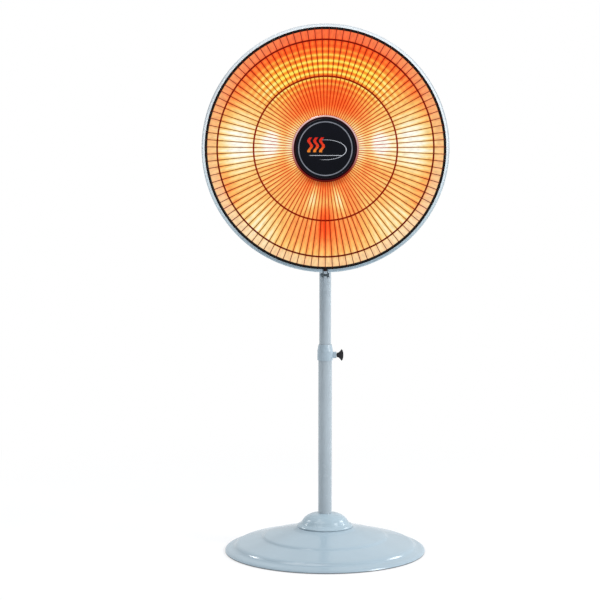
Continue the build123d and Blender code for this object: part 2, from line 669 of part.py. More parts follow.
def tilt_socket():
    """Casting in the pole's top, with a flat tongue for the tilt bolt."""
    plug = UPPER_TUBE_RADIUS - UPPER_TUBE_WALL - RUNNING_FIT
    socket = rod(plug, UPPER_TUBE_TOP - TILT_SOCKET_PLUG, UPPER_TUBE_TOP)
    socket += rod(UPPER_TUBE_RADIUS, UPPER_TUBE_TOP, UPPER_TUBE_TOP + TILT_SOCKET_COLLAR)
    tongue = block((-TONGUE_HALF_THICKNESS, TONGUE_HALF_THICKNESS), (-TONGUE_RADIUS, TONGUE_RADIUS),
                   (UPPER_TUBE_TOP, TILT_HEIGHT))
    tip = rod(TONGUE_RADIUS, -TONGUE_HALF_THICKNESS, TONGUE_HALF_THICKNESS)
    tongue += Pos(0, 0, TILT_HEIGHT) * along_x(tip)
    socket += tongue
    bore = rod(TILT_BOLT_RADIUS + RUNNING_FIT, -UPPER_TUBE_RADIUS, UPPER_TUBE_RADIUS)
    return socket - Pos(0, 0, TILT_HEIGHT) * along_x(bore) - mast_screw_hole()


def mast_screw_hole():
    """Cross hole, behind the pole, for the screw that pins the socket in the tube."""
    hole = rod(MAST_SCREW_RADIUS + RUNNING_FIT, 0, UPPER_TUBE_RADIUS + CUT_OVERRUN)
    return Pos(0, 0, UPPER_TUBE_TOP - MAST_SCREW_DROP) * (Rot(-90, 0, 0) * hole)


def mast_screw():
    """Screw that pins the tilt socket in the upper tube."""
    one = screw(MAST_SCREW_HEAD_RADIUS, MAST_SCREW_HEAD_HEIGHT, MAST_SCREW_RADIUS, UPPER_TUBE_RADIUS)
    return Pos(0, UPPER_TUBE_RADIUS + WELD_GAP, UPPER_TUBE_TOP - MAST_SCREW_DROP) * (Rot(-90, 0, 0) * one)


def ear_inner():
    """How far from the middle each fork ear starts."""
    return TONGUE_HALF_THICKNESS + TILT_WASHER_THICKNESS


def tilt_washers():
    """Friction washers on both sides of the tongue."""
    washer = pipe(TILT_WASHER_RADIUS, TILT_BOLT_RADIUS + RUNNING_FIT, TONGUE_HALF_THICKNESS, ear_inner())
    washer = along_x(washer)
    return group([Pos(0, 0, TILT_HEIGHT) * washer, Pos(0, 0, TILT_HEIGHT) * (Rot(0, 0, 180) * washer)])


def tilt_bracket():
    """Fork that tilts on the pole's tongue and holds the swing post."""
    ear_outer = ear_inner() + TILT_EAR_THICKNESS
    bridge_top = BRIDGE_BOTTOM + BRACKET_BRIDGE
    fork = block((-ear_outer, ear_outer), (-TILT_EAR_RADIUS, TILT_EAR_RADIUS), (TILT_HEIGHT, bridge_top))
    fork += Pos(0, 0, TILT_HEIGHT) * along_x(rod(TILT_EAR_RADIUS, -ear_outer, ear_outer))
    gap = TILT_EAR_RADIUS + CUT_OVERRUN
    fork -= block((-ear_inner(), ear_inner()), (-gap, gap), (TILT_HEIGHT - gap, BRIDGE_BOTTOM))
    fork += rod(BRACKET_BOSS_RADIUS, bridge_top, BUSH_BOTTOM - RUNNING_FIT)
    fork -= rod(POST_RADIUS, POST_BOTTOM, BUSH_BOTTOM + CUT_OVERRUN)
    bore = rod(TILT_BOLT_RADIUS + RUNNING_FIT, -ear_outer - CUT_OVERRUN, ear_outer + CUT_OVERRUN)
    return fork - Pos(0, 0, TILT_HEIGHT) * along_x(bore)


def tilt_bolt():
    """Bolt that the head tilts on."""
    ear_outer = ear_inner() + TILT_EAR_THICKNESS
    length = 2 * ear_outer + TILT_NUT_HEIGHT + TILT_BOLT_TAIL
    head = extrude(RegularPolygon(TILT_BOLT_HEAD_RADIUS, 6), TILT_BOLT_HEAD_HEIGHT)
    bolt = head + rod(TILT_BOLT_RADIUS, -length, 0)
    return Pos(ear_outer, 0, TILT_HEIGHT) * along_x(bolt)


def tilt_nut():
    """Lock nut on the tilt bolt."""
    ear_outer = ear_inner() + TILT_EAR_THICKNESS
    nut = extrude(RegularPolygon(TILT_NUT_RADIUS, 6), TILT_NUT_HEIGHT)
    nut -= rod(TILT_BOLT_RADIUS + RUNNING_FIT, -CUT_OVERRUN, TILT_NUT_HEIGHT + CUT_OVERRUN)
    return Pos(-ear_outer - TILT_NUT_HEIGHT, 0, TILT_HEIGHT) * along_x(nut)


def swing_post():
    """Upright pin that the head swings on, grooved for its clip."""
    post = rod(POST_RADIUS, POST_BOTTOM, POST_TOP)
    neck = POST_RADIUS - POST_CLIP_GROOVE
    groove = pipe(POST_RADIUS + CUT_OVERRUN, neck, ARM_TOP, ARM_TOP + POST_CLIP_THICKNESS)
    return post - groove


def post_clip():
    """Open snap ring in the post's groove."""
    neck = POST_RADIUS - POST_CLIP_GROOVE
    clip = pipe(POST_CLIP_RADIUS, neck + WELD_GAP, ARM_TOP, ARM_TOP + POST_CLIP_THICKNESS)
    mouth = POST_RADIUS - 2 * POST_CLIP_GROOVE
    return clip - block((-mouth, mouth), (-POST_CLIP_RADIUS - CUT_OVERRUN, 0),
                        (ARM_TOP - CUT_OVERRUN, ARM_TOP + CUT_OVERRUN))


def arm_slot_ends():
    """Nearest and furthest edge of the slot, from the post's axis, that the crank pin needs."""
    reach = CRANK_PIN_RADIUS + ARM_SLOT_MARGIN
    nearest = math.hypot(CRANK_OFFSET, CRANK_THROW) - reach
    return nearest, CRANK_OFFSET + CRANK_THROW + reach


def swing_arm():
    """Slotted arm fixed to the post, which the crank pin pushes against."""
    near, far = arm_slot_ends()
    slot_half = CRANK_PIN_RADIUS + CRANK_SLOT_PLAY
    half = slot_half + ARM_RIM
    arm = rod(ARM_HUB_RADIUS, ARM_BOTTOM, ARM_TOP)
    arm += block((-half, half), (0, far - slot_half), (ARM_BOTTOM, ARM_TOP))
    arm += rod(half, ARM_BOTTOM, ARM_TOP, 0, far - slot_half)
    low, high = ARM_BOTTOM - CUT_OVERRUN, ARM_TOP + CUT_OVERRUN
    slot = block((-slot_half, slot_half), (near + slot_half, far - slot_half), (low, high))
    slot += rod(slot_half, low, high, 0, near + slot_half)
    slot += rod(slot_half, low, high, 0, far - slot_half)
    return arm - slot - rod(POST_RADIUS, low, high)


# Rear of the head


def gear_housing():
    """Casting behind the dish: mounting plate, bearing for the swing post and pillars for the rear cover."""
    plate = rod(HOUSING_PLATE_RADIUS, HOUSING_PLATE_BACK, BOWL_BACK_FORWARD)
    for angle in PILLAR_ANGLES:
        x = PILLAR_CIRCLE * math.cos(math.radians(angle))
        y = PILLAR_CIRCLE * math.sin(math.radians(angle))
        plate += rod(PILLAR_RADIUS, COVER_BACK_INSIDE, HOUSING_PLATE_BACK, x, y)
        tip = COVER_BACK_INSIDE + COVER_SCREW_BITE
        plate -= rod(COVER_SCREW_RADIUS, COVER_BACK_INSIDE - CUT_OVERRUN, tip, x, y)
    for x, y in housing_screw_places():
        rear, front = HOUSING_PLATE_BACK - CUT_OVERRUN, BOWL_BACK_FORWARD + CUT_OVERRUN
        plate -= rod(HOUSING_SCREW_RADIUS, rear, front, x, y)
    housing = in_head(plate)
    housing += rod(BEARING_RADIUS, BEARING_BOTTOM, BEARING_TOP)
    half = HOUSING_WEB_HALF_WIDTH
    housing += block((-half, half), (-HOUSING_PLATE_BACK, 0), (BEARING_BOTTOM + MOVING_GAP * 2, BEARING_TOP))
    return housing - rod(POST_RADIUS + BUSH_WALL, BEARING_BOTTOM - CUT_OVERRUN, BEARING_TOP + CUT_OVERRUN)


def post_bush():
    """Flanged bush between the post and the housing, which carries the head's weight."""
    bore, outer = POST_RADIUS + RUNNING_FIT, POST_RADIUS + BUSH_WALL
    return turned([
        (bore, BUSH_BOTTOM), (BUSH_FLANGE_RADIUS, BUSH_BOTTOM), (BUSH_FLANGE_RADIUS, BEARING_BOTTOM),
        (outer, BEARING_BOTTOM), (outer, BEARING_TOP), (bore, BEARING_TOP),
    ])


def rear_cover():
    """Rounded cup over the housing, with vents, holes for the controls and a port for the post."""
    shoulder = COVER_BACK + COVER_SHOULDER_DEPTH
    outer = [
        (0, COVER_BACK), (COVER_BACK_RADIUS, COVER_BACK), (COVER_SHOULDER_RADIUS, shoulder),
        (COVER_RADIUS, 0), (COVER_RADIUS, BOWL_BACK_FORWARD),
    ]
    inner = [
        (COVER_RADIUS - COVER_WALL, BOWL_BACK_FORWARD), (COVER_RADIUS - COVER_WALL, 0),
        (COVER_SHOULDER_RADIUS - COVER_WALL, shoulder),
        (COVER_BACK_RADIUS - COVER_WALL / 2, COVER_BACK_INSIDE),
        (0, COVER_BACK_INSIDE),
    ]
    cover = turned(outer + inner)
    low, high = COVER_BACK - CUT_OVERRUN, COVER_BACK_INSIDE + CUT_OVERRUN
    for row in range(VENT_COUNT):
        middle = VENT_TOP - VENT_PITCH * row
        across = (-VENT_HALF_LENGTH, VENT_HALF_LENGTH)
        cover -= block(across, (middle - VENT_HALF_WIDTH, middle + VENT_HALF_WIDTH), (low, high))
    for x in (-CONTROL_X, CONTROL_X):
        cover -= rod(SPINDLE_RADIUS + MOVING_GAP, low, high, x, CONTROL_Y)
    half_width = ROCKER_HALF_WIDTH + ROCKER_FRAME_WALL / 2
    half_length = ROCKER_HALF_LENGTH + ROCKER_FRAME_WALL / 2
    cover -= block((-half_width, half_width), (CONTROL_Y - half_length, CONTROL_Y + half_length), (low, high))
    for angle in PILLAR_ANGLES:
        x = PILLAR_CIRCLE * math.cos(math.radians(angle))
        y = PILLAR_CIRCLE * math.sin(math.radians(angle))
        cover -= rod(COVER_SCREW_RADIUS + RUNNING_FIT, low, high, x, y)
    port = rod(BRACKET_BOSS_RADIUS + COVER_PORT_PLAY, COVER_BOTTOM - CUT_OVERRUN, BUSH_BOTTOM + CUT_OVERRUN)
    return in_head(cover) - port


def cover_screws():
    """Screws through the rear cover into the housing's pillars."""
    one = screw(COVER_SCREW_HEAD_RADIUS, COVER_SCREW_HEAD_HEIGHT, COVER_SCREW_RADIUS - WELD_GAP,
                COVER_WALL + COVER_SCREW_BITE)
    one = Rot(180, 0, 0) * one
    places = []
    for angle in PILLAR_ANGLES:
        x = PILLAR_CIRCLE * math.cos(math.radians(angle))
        y = PILLAR_CIRCLE * math.sin(math.radians(angle))
        places.append(Pos(x, y, COVER_BACK) * one)
    return in_head(group(places))


def housing_screws():
    """Screws through the bowl's back into the housing plate."""
    one = screw(HOUSING_SCREW_HEAD_RADIUS, HOUSING_SCREW_HEAD_HEIGHT, HOUSING_SCREW_RADIUS - WELD_GAP,
                BOWL_WALL + HOUSING_PLATE_THICKNESS)
    places = housing_screw_places()
    return in_head(group([Pos(x, y, BOWL_BACK_FORWARD + BOWL_WALL) * one for x, y in places]))


def motor_bracket():
    """Angle plate that hangs the swing motor behind the housing plate."""
    half = MOTOR_PLATE_HALF_WIDTH
    back = CRANK_OFFSET + MOTOR_RADIUS + MOTOR_EAR_REACH
    front = -HOUSING_PLATE_BACK
    plate = block((-half, half), (front, back), (MOTOR_PLATE_BOTTOM, MOTOR_PLATE_TOP))
    plate += block((-half, half), (front, front + MOTOR_PLATE_THICKNESS),
                   (MOTOR_PLATE_BOTTOM, MOTOR_PLATE_TOP + MOTOR_TAB_HEIGHT))
    hole = rod(MOTOR_SHAFT_RADIUS + MOVING_GAP * 2, MOTOR_PLATE_BOTTOM - CUT_OVERRUN,
               MOTOR_PLATE_TOP + CUT_OVERRUN, 0, CRANK_OFFSET)
    return plate - hole


def swing_motor():
    """Flat geared synchronous motor with a drum case and a hollow for its shaft."""
    case = rod(MOTOR_RADIUS, MOTOR_PLATE_TOP, MOTOR_PLATE_TOP + MOTOR_HEIGHT, 0, CRANK_OFFSET)
    bore = rod(MOTOR_SHAFT_RADIUS + RUNNING_FIT, MOTOR_PLATE_TOP - CUT_OVERRUN,
               MOTOR_PLATE_TOP + MOTOR_HEIGHT / 2, 0, CRANK_OFFSET)
    return case - bore


def crank_disc():
    """Motor's output shaft and its disc, with the pin that runs in the arm's slot."""
    disc = rod(CRANK_DISC_RADIUS, CRANK_DISC_BOTTOM, CRANK_DISC_TOP, 0, CRANK_OFFSET)
    disc += rod(CRANK_PIN_RADIUS, ARM_BOTTOM + MOVING_GAP, CRANK_DISC_BOTTOM, 0, CRANK_OFFSET + CRANK_THROW)
    return disc + rod(MOTOR_SHAFT_RADIUS, CRANK_DISC_BOTTOM, MOTOR_PLATE_TOP + MOTOR_HEIGHT / 2 - MOVING_GAP,
                      0, CRANK_OFFSET)


def control_body(x):
    """Switch body behind the rear wall, with a bore for its spindle."""
    half = CONTROL_BODY / 2
    body = block((x - half, x + half), (CONTROL_Y - half, CONTROL_Y + half),
                 (COVER_BACK_INSIDE, COVER_BACK_INSIDE + CONTROL_BODY_DEPTH))
    return in_head(body - rod(SPINDLE_RADIUS + RUNNING_FIT, COVER_BACK_INSIDE - CUT_OVERRUN,
                              COVER_BACK_INSIDE + SPINDLE_DEPTH + MOVING_GAP, x, CONTROL_Y))


def control_knob(x):
    """Turned knob with a skirt, a raised grip bar and its spindle."""
    face = COVER_BACK - MOVING_GAP
    knob = turned([
        (0, face - KNOB_SKIRT_HEIGHT), (KNOB_RADIUS, face - KNOB_SKIRT_HEIGHT),
        (KNOB_SKIRT_RADIUS, face), (0, face),
    ])
    bar = rod(KNOB_RADIUS, face - KNOB_HEIGHT, face - KNOB_SKIRT_HEIGHT)
    bar &= block((-KNOB_GRIP_HALF_WIDTH, KNOB_GRIP_HALF_WIDTH), (-KNOB_RADIUS, KNOB_RADIUS),
                 (face - KNOB_HEIGHT, face - KNOB_SKIRT_HEIGHT))
    knob += bar
    knob += rod(SPINDLE_RADIUS, face, COVER_BACK_INSIDE + SPINDLE_DEPTH)
    return in_head(Pos(x, CONTROL_Y, 0) * knob)


def rocker_frame():
    """Bezel and body of the swing switch, snapped into the rear wall."""
    half_width = ROCKER_HALF_WIDTH + ROCKER_FRAME_WALL / 2 - RUNNING_FIT
    half_length = ROCKER_HALF_LENGTH + ROCKER_FRAME_WALL / 2 - RUNNING_FIT
    low, high = COVER_BACK - ROCKER_FRAME_PROUD, COVER_BACK + ROCKER_DEPTH
    frame = block((-half_width, half_width), (-half_length, half_length), (low, high))
    rim_width, rim_length = half_width + ROCKER_FRAME_WALL, half_length + ROCKER_FRAME_WALL
    frame += block((-rim_width, rim_width), (-rim_length, rim_length), (low, COVER_BACK))
    frame -= block((-ROCKER_HALF_WIDTH, ROCKER_HALF_WIDTH), (-ROCKER_HALF_LENGTH, ROCKER_HALF_LENGTH),
                   (low - CUT_OVERRUN, high - ROCKER_FRAME_WALL))
    frame -= rocker_pivot() * along_x(rod(ROCKER_PIN_RADIUS + RUNNING_FIT, -half_width, half_width))
    return in_head(Pos(0, CONTROL_Y, 0) * frame)


def rocker_pivot():
    """Place of the swing switch's pins, behind the cover's back."""
    return Pos(0, 0, COVER_BACK + ROCKER_PIVOT_DEPTH)


def swing_rocker():
    """Rocking paddle with two sloping faces that meet in the middle."""
    half_length = ROCKER_HALF_LENGTH - MOVING_GAP
    half_width = ROCKER_HALF_WIDTH - MOVING_GAP / 2
    crest, edge = COVER_BACK - ROCKER_FRAME_PROUD / 2, COVER_BACK - ROCKER_FRAME_PROUD - ROCKER_SWELL / 2
    root = COVER_BACK + 2 * ROCKER_PIVOT_DEPTH
    face = Plane.YZ * make_face(Polyline(
        (-half_length, edge), (0, crest), (half_length, edge), (half_length - MOVING_GAP, COVER_BACK),
        (ROCKER_SWELL, root), (-ROCKER_SWELL, root), (-half_length + MOVING_GAP, COVER_BACK), close=True,
    ))
    paddle = extrude(face, half_width, both=True)
    pin_end = ROCKER_HALF_WIDTH + ROCKER_FRAME_WALL / 2 - MOVING_GAP / 2
    paddle += rocker_pivot() * along_x(rod(ROCKER_PIN_RADIUS, -pin_end, pin_end))
    return in_head(Pos(0, CONTROL_Y, 0) * paddle)


def terminal_block():
    """Terminal strip on the housing plate."""
    half = TERMINAL_WIDTH / 2
    body = block((-half, half), (TERMINAL_Y - TERMINAL_HEIGHT / 2, TERMINAL_Y + TERMINAL_HEIGHT / 2),
                 (HOUSING_PLATE_BACK - TERMINAL_DEPTH, HOUSING_PLATE_BACK))
    return in_head(body)


def thermal_cutout():
    """Round thermostat on the housing plate that cuts the current when the dish overheats."""
    rear = HOUSING_PLATE_BACK - CUTOUT_DEPTH
    return in_head(rod(CUTOUT_RADIUS, rear, HOUSING_PLATE_BACK, CUTOUT_X, CUTOUT_Y))


# Dish


def curved(start_radius, start_height, end_radius, end_height, curve, radius):
    """Height of a dish wall at a radius, between its flat and its mouth."""
    share = (radius - start_radius) / (end_radius - start_radius)
    return start_height + (end_height - start_height) * share**curve


def rear_bowl():
    """Pressed outer bowl, with a flange round its mouth."""
    back, flange = BOWL_BACK_FORWARD, BOWL_FLANGE_BACK
    mouth = BOWL_MOUTH_RADIUS
    width = (mouth - BOWL_FLAT_RADIUS) / BOWL_BANDS
    radii = [BOWL_FLAT_RADIUS + width * step for step in range(BOWL_BANDS + 1)]
    line = [(radius, curved(BOWL_FLAT_RADIUS, back, mouth, flange, BOWL_CURVE, radius)) for radius in radii]
    outer = [(0, back)] + line + [(DISH_FLANGE_RADIUS, flange), (DISH_FLANGE_RADIUS, flange + BOWL_WALL)]
    inner = [(radius - BOWL_WALL / 2, height + BOWL_WALL) for radius, height in line]
    bowl = turned(outer + inner[::-1] + [(0, back + BOWL_WALL)])
    low, high = back - CUT_OVERRUN, back + BOWL_WALL + CUT_OVERRUN
    for x, y in housing_screw_places():
        bowl -= rod(HOUSING_SCREW_RADIUS, low, high, x, y)
    for x, y in bracket_places():
        bowl -= rod(BRACKET_SCREW_RADIUS, low, high, x, y)
    return in_head(bowl)


def reflector_line():
    """Corners of the reflector's front face: a flat, an inner cone, the pressed rings and the outer cone."""
    radii = [REFLECTOR_FLAT_RADIUS]
    for ring in range(REFLECTOR_RING_COUNT + 1):
        radii.append(REFLECTOR_INNER_CONE_RADIUS + REFLECTOR_RING_PITCH * ring)
    radii += [REFLECTOR_MOUTH_RADIUS]
    top = REFLECTOR_FLANGE_BACK + REFLECTOR_WALL
    return [
        (radius, curved(REFLECTOR_FLAT_RADIUS, REFLECTOR_FRONT, REFLECTOR_MOUTH_RADIUS, top, REFLECTOR_CURVE, radius))
        for radius in radii
    ]


def reflector():
    """Bright inner dish, pressed in rings, behind the elements."""
    front = reflector_line()
    flange = REFLECTOR_FLANGE_BACK
    back = [(radius + REFLECTOR_WALL / 2, height - REFLECTOR_WALL) for radius, height in front[:-1]]
    back += [(REFLECTOR_MOUTH_RADIUS + REFLECTOR_WALL / 2, flange)]
    outline = [(0, REFLECTOR_FRONT)] + front + [(DISH_FLANGE_RADIUS, flange + REFLECTOR_WALL)]
    outline += [(DISH_FLANGE_RADIUS, flange)] + back[::-1] + [(0, REFLECTOR_BACK)]
    dish = turned(outline)
    for x, y in bracket_places():
        rear, front = REFLECTOR_BACK - CUT_OVERRUN, REFLECTOR_FRONT + CUT_OVERRUN
        dish -= rod(BRACKET_SCREW_RADIUS + RUNNING_FIT, rear, front, x, y)
    return in_head(dish)


def band_faces():
    """Back and front of the rim band, and its inner faces."""
    back = BOWL_FLANGE_BACK - BAND_WALL - WELD_GAP
    front = HOOP_FRONT + BAND_WALL + WELD_GAP
    return back, front


def rim_band():
    """Split clamp band of U section that holds bowl, reflector and guard together, with two ears below."""
    back, front = band_faces()
    outer, inner = BAND_RADIUS, BAND_RADIUS - BAND_WALL
    band = turned([
        (outer - BAND_REAR_LIP, back), (outer, back), (outer, front), (outer - BAND_FRONT_LIP, front),
        (outer - BAND_FRONT_LIP, front - BAND_WALL), (inner, front - BAND_WALL), (inner, back + BAND_WALL),
        (outer - BAND_REAR_LIP, back + BAND_WALL),
    ])
    half = BAND_SPLIT / 2
    band -= block((-half, half), (-outer - CUT_OVERRUN, -outer + 2 * BAND_REAR_LIP),
                  (back - CUT_OVERRUN, front + CUT_OVERRUN))
    for side in (-1, 1):
        near, far = sorted((side * half, side * (half + BAND_EAR_THICKNESS)))
        band += block((near, far), (-outer - BAND_EAR_REACH, -inner), (back, front))
    hole = rod(BAND_SCREW_RADIUS + RUNNING_FIT, -BAND_SPLIT, BAND_SPLIT)
    return in_head(band - band_screw_place() * along_x(hole))


def band_screw_place():
    """Middle of the clamp screw, between the band's ears."""
    back, front = band_faces()
    return Pos(0, -BAND_RADIUS - BAND_EAR_REACH / 2, (back + front) / 2)


def rim_screw():
    """Screw that closes the rim band."""
    grip = BAND_SPLIT / 2 + BAND_EAR_THICKNESS
    one = screw(BAND_SCREW_HEAD_RADIUS, BAND_SCREW_HEAD_HEIGHT, BAND_SCREW_RADIUS,
                2 * grip + BAND_NUT_HEIGHT + BAND_SCREW_TAIL)
    return in_head(band_screw_place() * along_x(Pos(0, 0, grip) * one))


def rim_nut():
    """Nut of the rim band's screw."""
    grip = BAND_SPLIT / 2 + BAND_EAR_THICKNESS
    nut = extrude(RegularPolygon(BAND_NUT_RADIUS, 6), BAND_NUT_HEIGHT)
    nut -= rod(BAND_SCREW_RADIUS + RUNNING_FIT, -CUT_OVERRUN, BAND_NUT_HEIGHT + CUT_OVERRUN)
    return in_head(band_screw_place() * along_x(Pos(0, 0, -grip - BAND_NUT_HEIGHT) * nut))


# Wire guard


def wire_ring(radius, forward, thickness):
    """Closed ring of round wire."""
    return Pos(0, 0, forward) * Torus(radius, thickness / 2)


def guard_hoop():
    """Thick hoop round the guard, gripped by the rim band."""
    return in_head(wire_ring(HOOP_RADIUS, HOOP_FORWARD, HOOP_WIRE))


def guard_line():
    """Middle line of one guard wire, from under the hub to the hoop, as (radius, forward)."""
    half = GUARD_WIRE / 2
    front = GUARD_FRONT - half
    knee = HOOP_FRONT + GUARD_KNEE_RISE
    return [
        (HUB_RADIUS - HUB_WIRE_LAP, front), (INNER_RING_RADIUS, front - GUARD_CENTRE_FALL),
        (OUTER_RING_RADIUS, knee), (HOOP_RADIUS, HOOP_FRONT + half),
    ]


def bend_normal(index):
    """Direction across the guard wire at one of its corners, pointing forwards, and half the turn there."""
    line = guard_line()
    slopes = [math.atan2(after[1] - before[1], after[0] - before[0]) for before, after in zip(line, line[1:])]
    before, after = slopes[max(index - 1, 0)], slopes[min(index, len(slopes) - 1)]
    return (before + after) / 2 + math.pi / 2, (after - before) / 2


def guard_rings():
    """Two rings that the wires are welded to, behind them."""
    rings = []
    for index in (1, 2):
        radius, forward = guard_line()[index]
        normal, half_turn = bend_normal(index)
        drop = ((GUARD_WIRE + RING_WIRE) / 2 + WELD_GAP) / math.cos(half_turn)
        radius -= drop * math.cos(normal)
        forward -= drop * math.sin(normal)
        rings.append(wire_ring(radius, forward, RING_WIRE))
    return in_head(group(rings))


def guard_wire():
    """One bent wire of square section, mitred at its bends, in the plane of the guard's axis."""
    half = GUARD_WIRE / 2
    front, back = [], []
    for index, (radius, forward) in enumerate(guard_line()):
        normal, half_turn = bend_normal(index)
        reach = half / math.cos(half_turn)
        front.append((radius + reach * math.cos(normal), 0, forward + reach * math.sin(normal)))
        back.append((radius - reach * math.cos(normal), 0, forward - reach * math.sin(normal)))
    return extrude(make_face(Polyline(*(front + back[::-1]), close=True)), half, both=True)


def guard_wires():
    """All the guard's wires, evenly spaced, with one straight down."""
    return in_head(group(round_the_axis(guard_wire(), GUARD_WIRE_COUNT, -90)))


def guard_hub():
    """Round plate that covers the wires' inner ends, with a rolled rim."""
    rim = HUB_RIM / 2
    outline = [(0, HUB_BACK), (HUB_RADIUS + rim, HUB_BACK)]
    for step in range(HUB_RIM_STEPS + 1):
        angle = math.pi * step / HUB_RIM_STEPS
        outline.append((HUB_RADIUS + rim * math.cos(angle), CAP_BACK + HUB_RIM_RISE * math.sin(angle)))
    hub = turned(outline + [(0, CAP_BACK)])
    for x, y in cap_screw_places():
        hub -= rod(CAP_SCREW_RADIUS + RUNNING_FIT, HUB_BACK - CUT_OVERRUN, CAP_BACK + CUT_OVERRUN, x, y)
    return in_head(hub)


def cap_body():
    """Gloss cap in the middle of the guard: a shallow crowned cup with a groove for its trim ring."""
    shoulder = CAP_FRONT - CAP_CROWN
    groove_outer, groove_inner = TRIM_RADIUS + WELD_GAP, TRIM_RADIUS - TRIM_WIDTH - WELD_GAP
    groove_floor = shoulder - TRIM_HEIGHT
    crown = [
        (groove_inner * step / CAP_STEPS, CAP_FRONT - CAP_CROWN * (step / CAP_STEPS) ** 2)
        for step in range(CAP_STEPS + 1)
    ]
    edge = []
    for step in range(CAP_EDGE_STEPS + 1):
        angle = math.pi / 2 * step / CAP_EDGE_STEPS
        out = CAP_RADIUS - CAP_EDGE * (1 - math.sin(angle))
        edge.append((out, shoulder - CAP_EDGE * (1 - math.cos(angle))))
    cap = turned(crown + [
        (groove_inner, groove_floor), (groove_outer, groove_floor), (groove_outer, shoulder), *edge,
        (CAP_RADIUS, CAP_BACK), (CAP_RADIUS - CAP_WALL, CAP_BACK),
        (CAP_RADIUS - CAP_WALL, groove_floor - CAP_WALL), (0, groove_floor - CAP_WALL),
    ])
    for x, y in cap_screw_places():
        cap += rod(CAP_POST_RADIUS, CAP_BACK, groove_floor - CAP_WALL / 2, x, y)
    for x, y in cap_screw_places():
        cap -= rod(CAP_SCREW_RADIUS, CAP_BACK - CUT_OVERRUN, groove_floor - CAP_WALL, x, y)
    return in_head(cap)


def cap_trim():
    """Bright ring let into the cap."""
    floor = CAP_FRONT - CAP_CROWN - TRIM_HEIGHT
    return in_head(pipe(TRIM_RADIUS, TRIM_RADIUS - TRIM_WIDTH, floor, floor + TRIM_HEIGHT + TRIM_PROUD))


def cap_screws():
    """Screws from behind the hub plate into the cap's posts."""
    length = CAP_FRONT - CAP_CROWN - TRIM_HEIGHT - CAP_WALL - HUB_BACK - MOVING_GAP
    stem = CAP_SCREW_RADIUS - WELD_GAP
    one = Rot(180, 0, 0) * screw(CAP_SCREW_HEAD_RADIUS, CAP_SCREW_HEAD_HEIGHT, stem, length)
    places = cap_screw_places()
    return in_head(group([Pos(x, y, HUB_BACK) * one for x, y in places]))


# Heating elements


def element_forward():
    """Distance of the tubes' axes in front of the swing axis."""
    return REFLECTOR_FRONT + ELEMENT_FORWARD


def upright(shape):
    """Stand a piece drawn about Z upright in the head frame."""
    return Rot(-90, 0, 0) * shape


def both_elements(shape):
    """The same piece on the left and the right element."""
    half = ELEMENT_SPACING / 2
    return [Pos(x, 0, element_forward()) * shape for x in (-half, half)]


def quartz_tubes():
    """Two upright quartz tubes."""
    half = ELEMENT_HALF_LENGTH
    tube = upright(pipe(ELEMENT_RADIUS, ELEMENT_RADIUS - ELEMENT_WALL, -half, half))
    return in_head(group(both_elements(tube)))


def carbon_filaments():
    """Carbon strands inside the tubes."""
    reach = ELEMENT_HALF_LENGTH - CERAMIC_LAP + CERAMIC_LENGTH
    return in_head(group(both_elements(upright(rod(FILAMENT_RADIUS, -reach, reach)))))


def ceramic_ends():
    """Ceramic caps on the tubes' ends, held by the bracket's arms."""
    low = ELEMENT_HALF_LENGTH - CERAMIC_LAP
    cap = rod(CERAMIC_RADIUS, low, low + CERAMIC_LENGTH)
    cap -= rod(ELEMENT_RADIUS + RUNNING_FIT, low, ELEMENT_HALF_LENGTH)
    cap -= rod(FILAMENT_RADIUS + RUNNING_FIT, low, low + CERAMIC_LENGTH)
    ends = both_elements(upright(cap)) + both_elements(upright(Rot(180, 0, 0) * cap))
    return in_head(group(ends))


def bracket_places():
    """The four screw places of the element bracket."""
    return [(x, y) for x in (-BRACKET_SCREW_X, BRACKET_SCREW_X) for y in (-BRACKET_SCREW_Y, BRACKET_SCREW_Y)]


def element_bracket():
    """Bent strip on the reflector's flat, whose two arms reach forwards to the ceramic ends."""
    inner = ELEMENT_HALF_LENGTH - CERAMIC_LAP + CERAMIC_LENGTH
    half = BRACKET_HALF_WIDTH
    foot_top = REFLECTOR_FRONT + BRACKET_STRIP
    strip = block((-half, half), (-inner - BRACKET_STRIP, inner + BRACKET_STRIP), (REFLECTOR_FRONT, foot_top))
    for side in (-1, 1):
        near, far = sorted((side * inner, side * (inner + BRACKET_STRIP)))
        strip += block((-half, half), (near, far), (REFLECTOR_FRONT, element_forward() + CERAMIC_RADIUS))
    for x, y in bracket_places():
        rear, front = REFLECTOR_FRONT - CUT_OVERRUN, foot_top + CUT_OVERRUN
        strip -= rod(BRACKET_SCREW_RADIUS + RUNNING_FIT, rear, front, x, y)
    return in_head(strip)


def element_spacers():
    """Spacers between the bowl's back and the reflector's flat."""
    bore = BRACKET_SCREW_RADIUS + RUNNING_FIT
    spacer = pipe(BRACKET_SPACER_RADIUS, bore, BOWL_BACK_FORWARD + BOWL_WALL, REFLECTOR_BACK)
    return in_head(group([Pos(x, y, 0) * spacer for x, y in bracket_places()]))


def element_screws():
    """Screws through the bracket, reflector and spacers into the bowl's back."""
    top = REFLECTOR_FRONT + BRACKET_STRIP
    one = screw(BRACKET_SCREW_HEAD_RADIUS, BRACKET_SCREW_HEAD_HEIGHT, BRACKET_SCREW_RADIUS - WELD_GAP,
                top - BOWL_BACK_FORWARD)
    return in_head(group([Pos(x, y, top) * one for x, y in bracket_places()]))


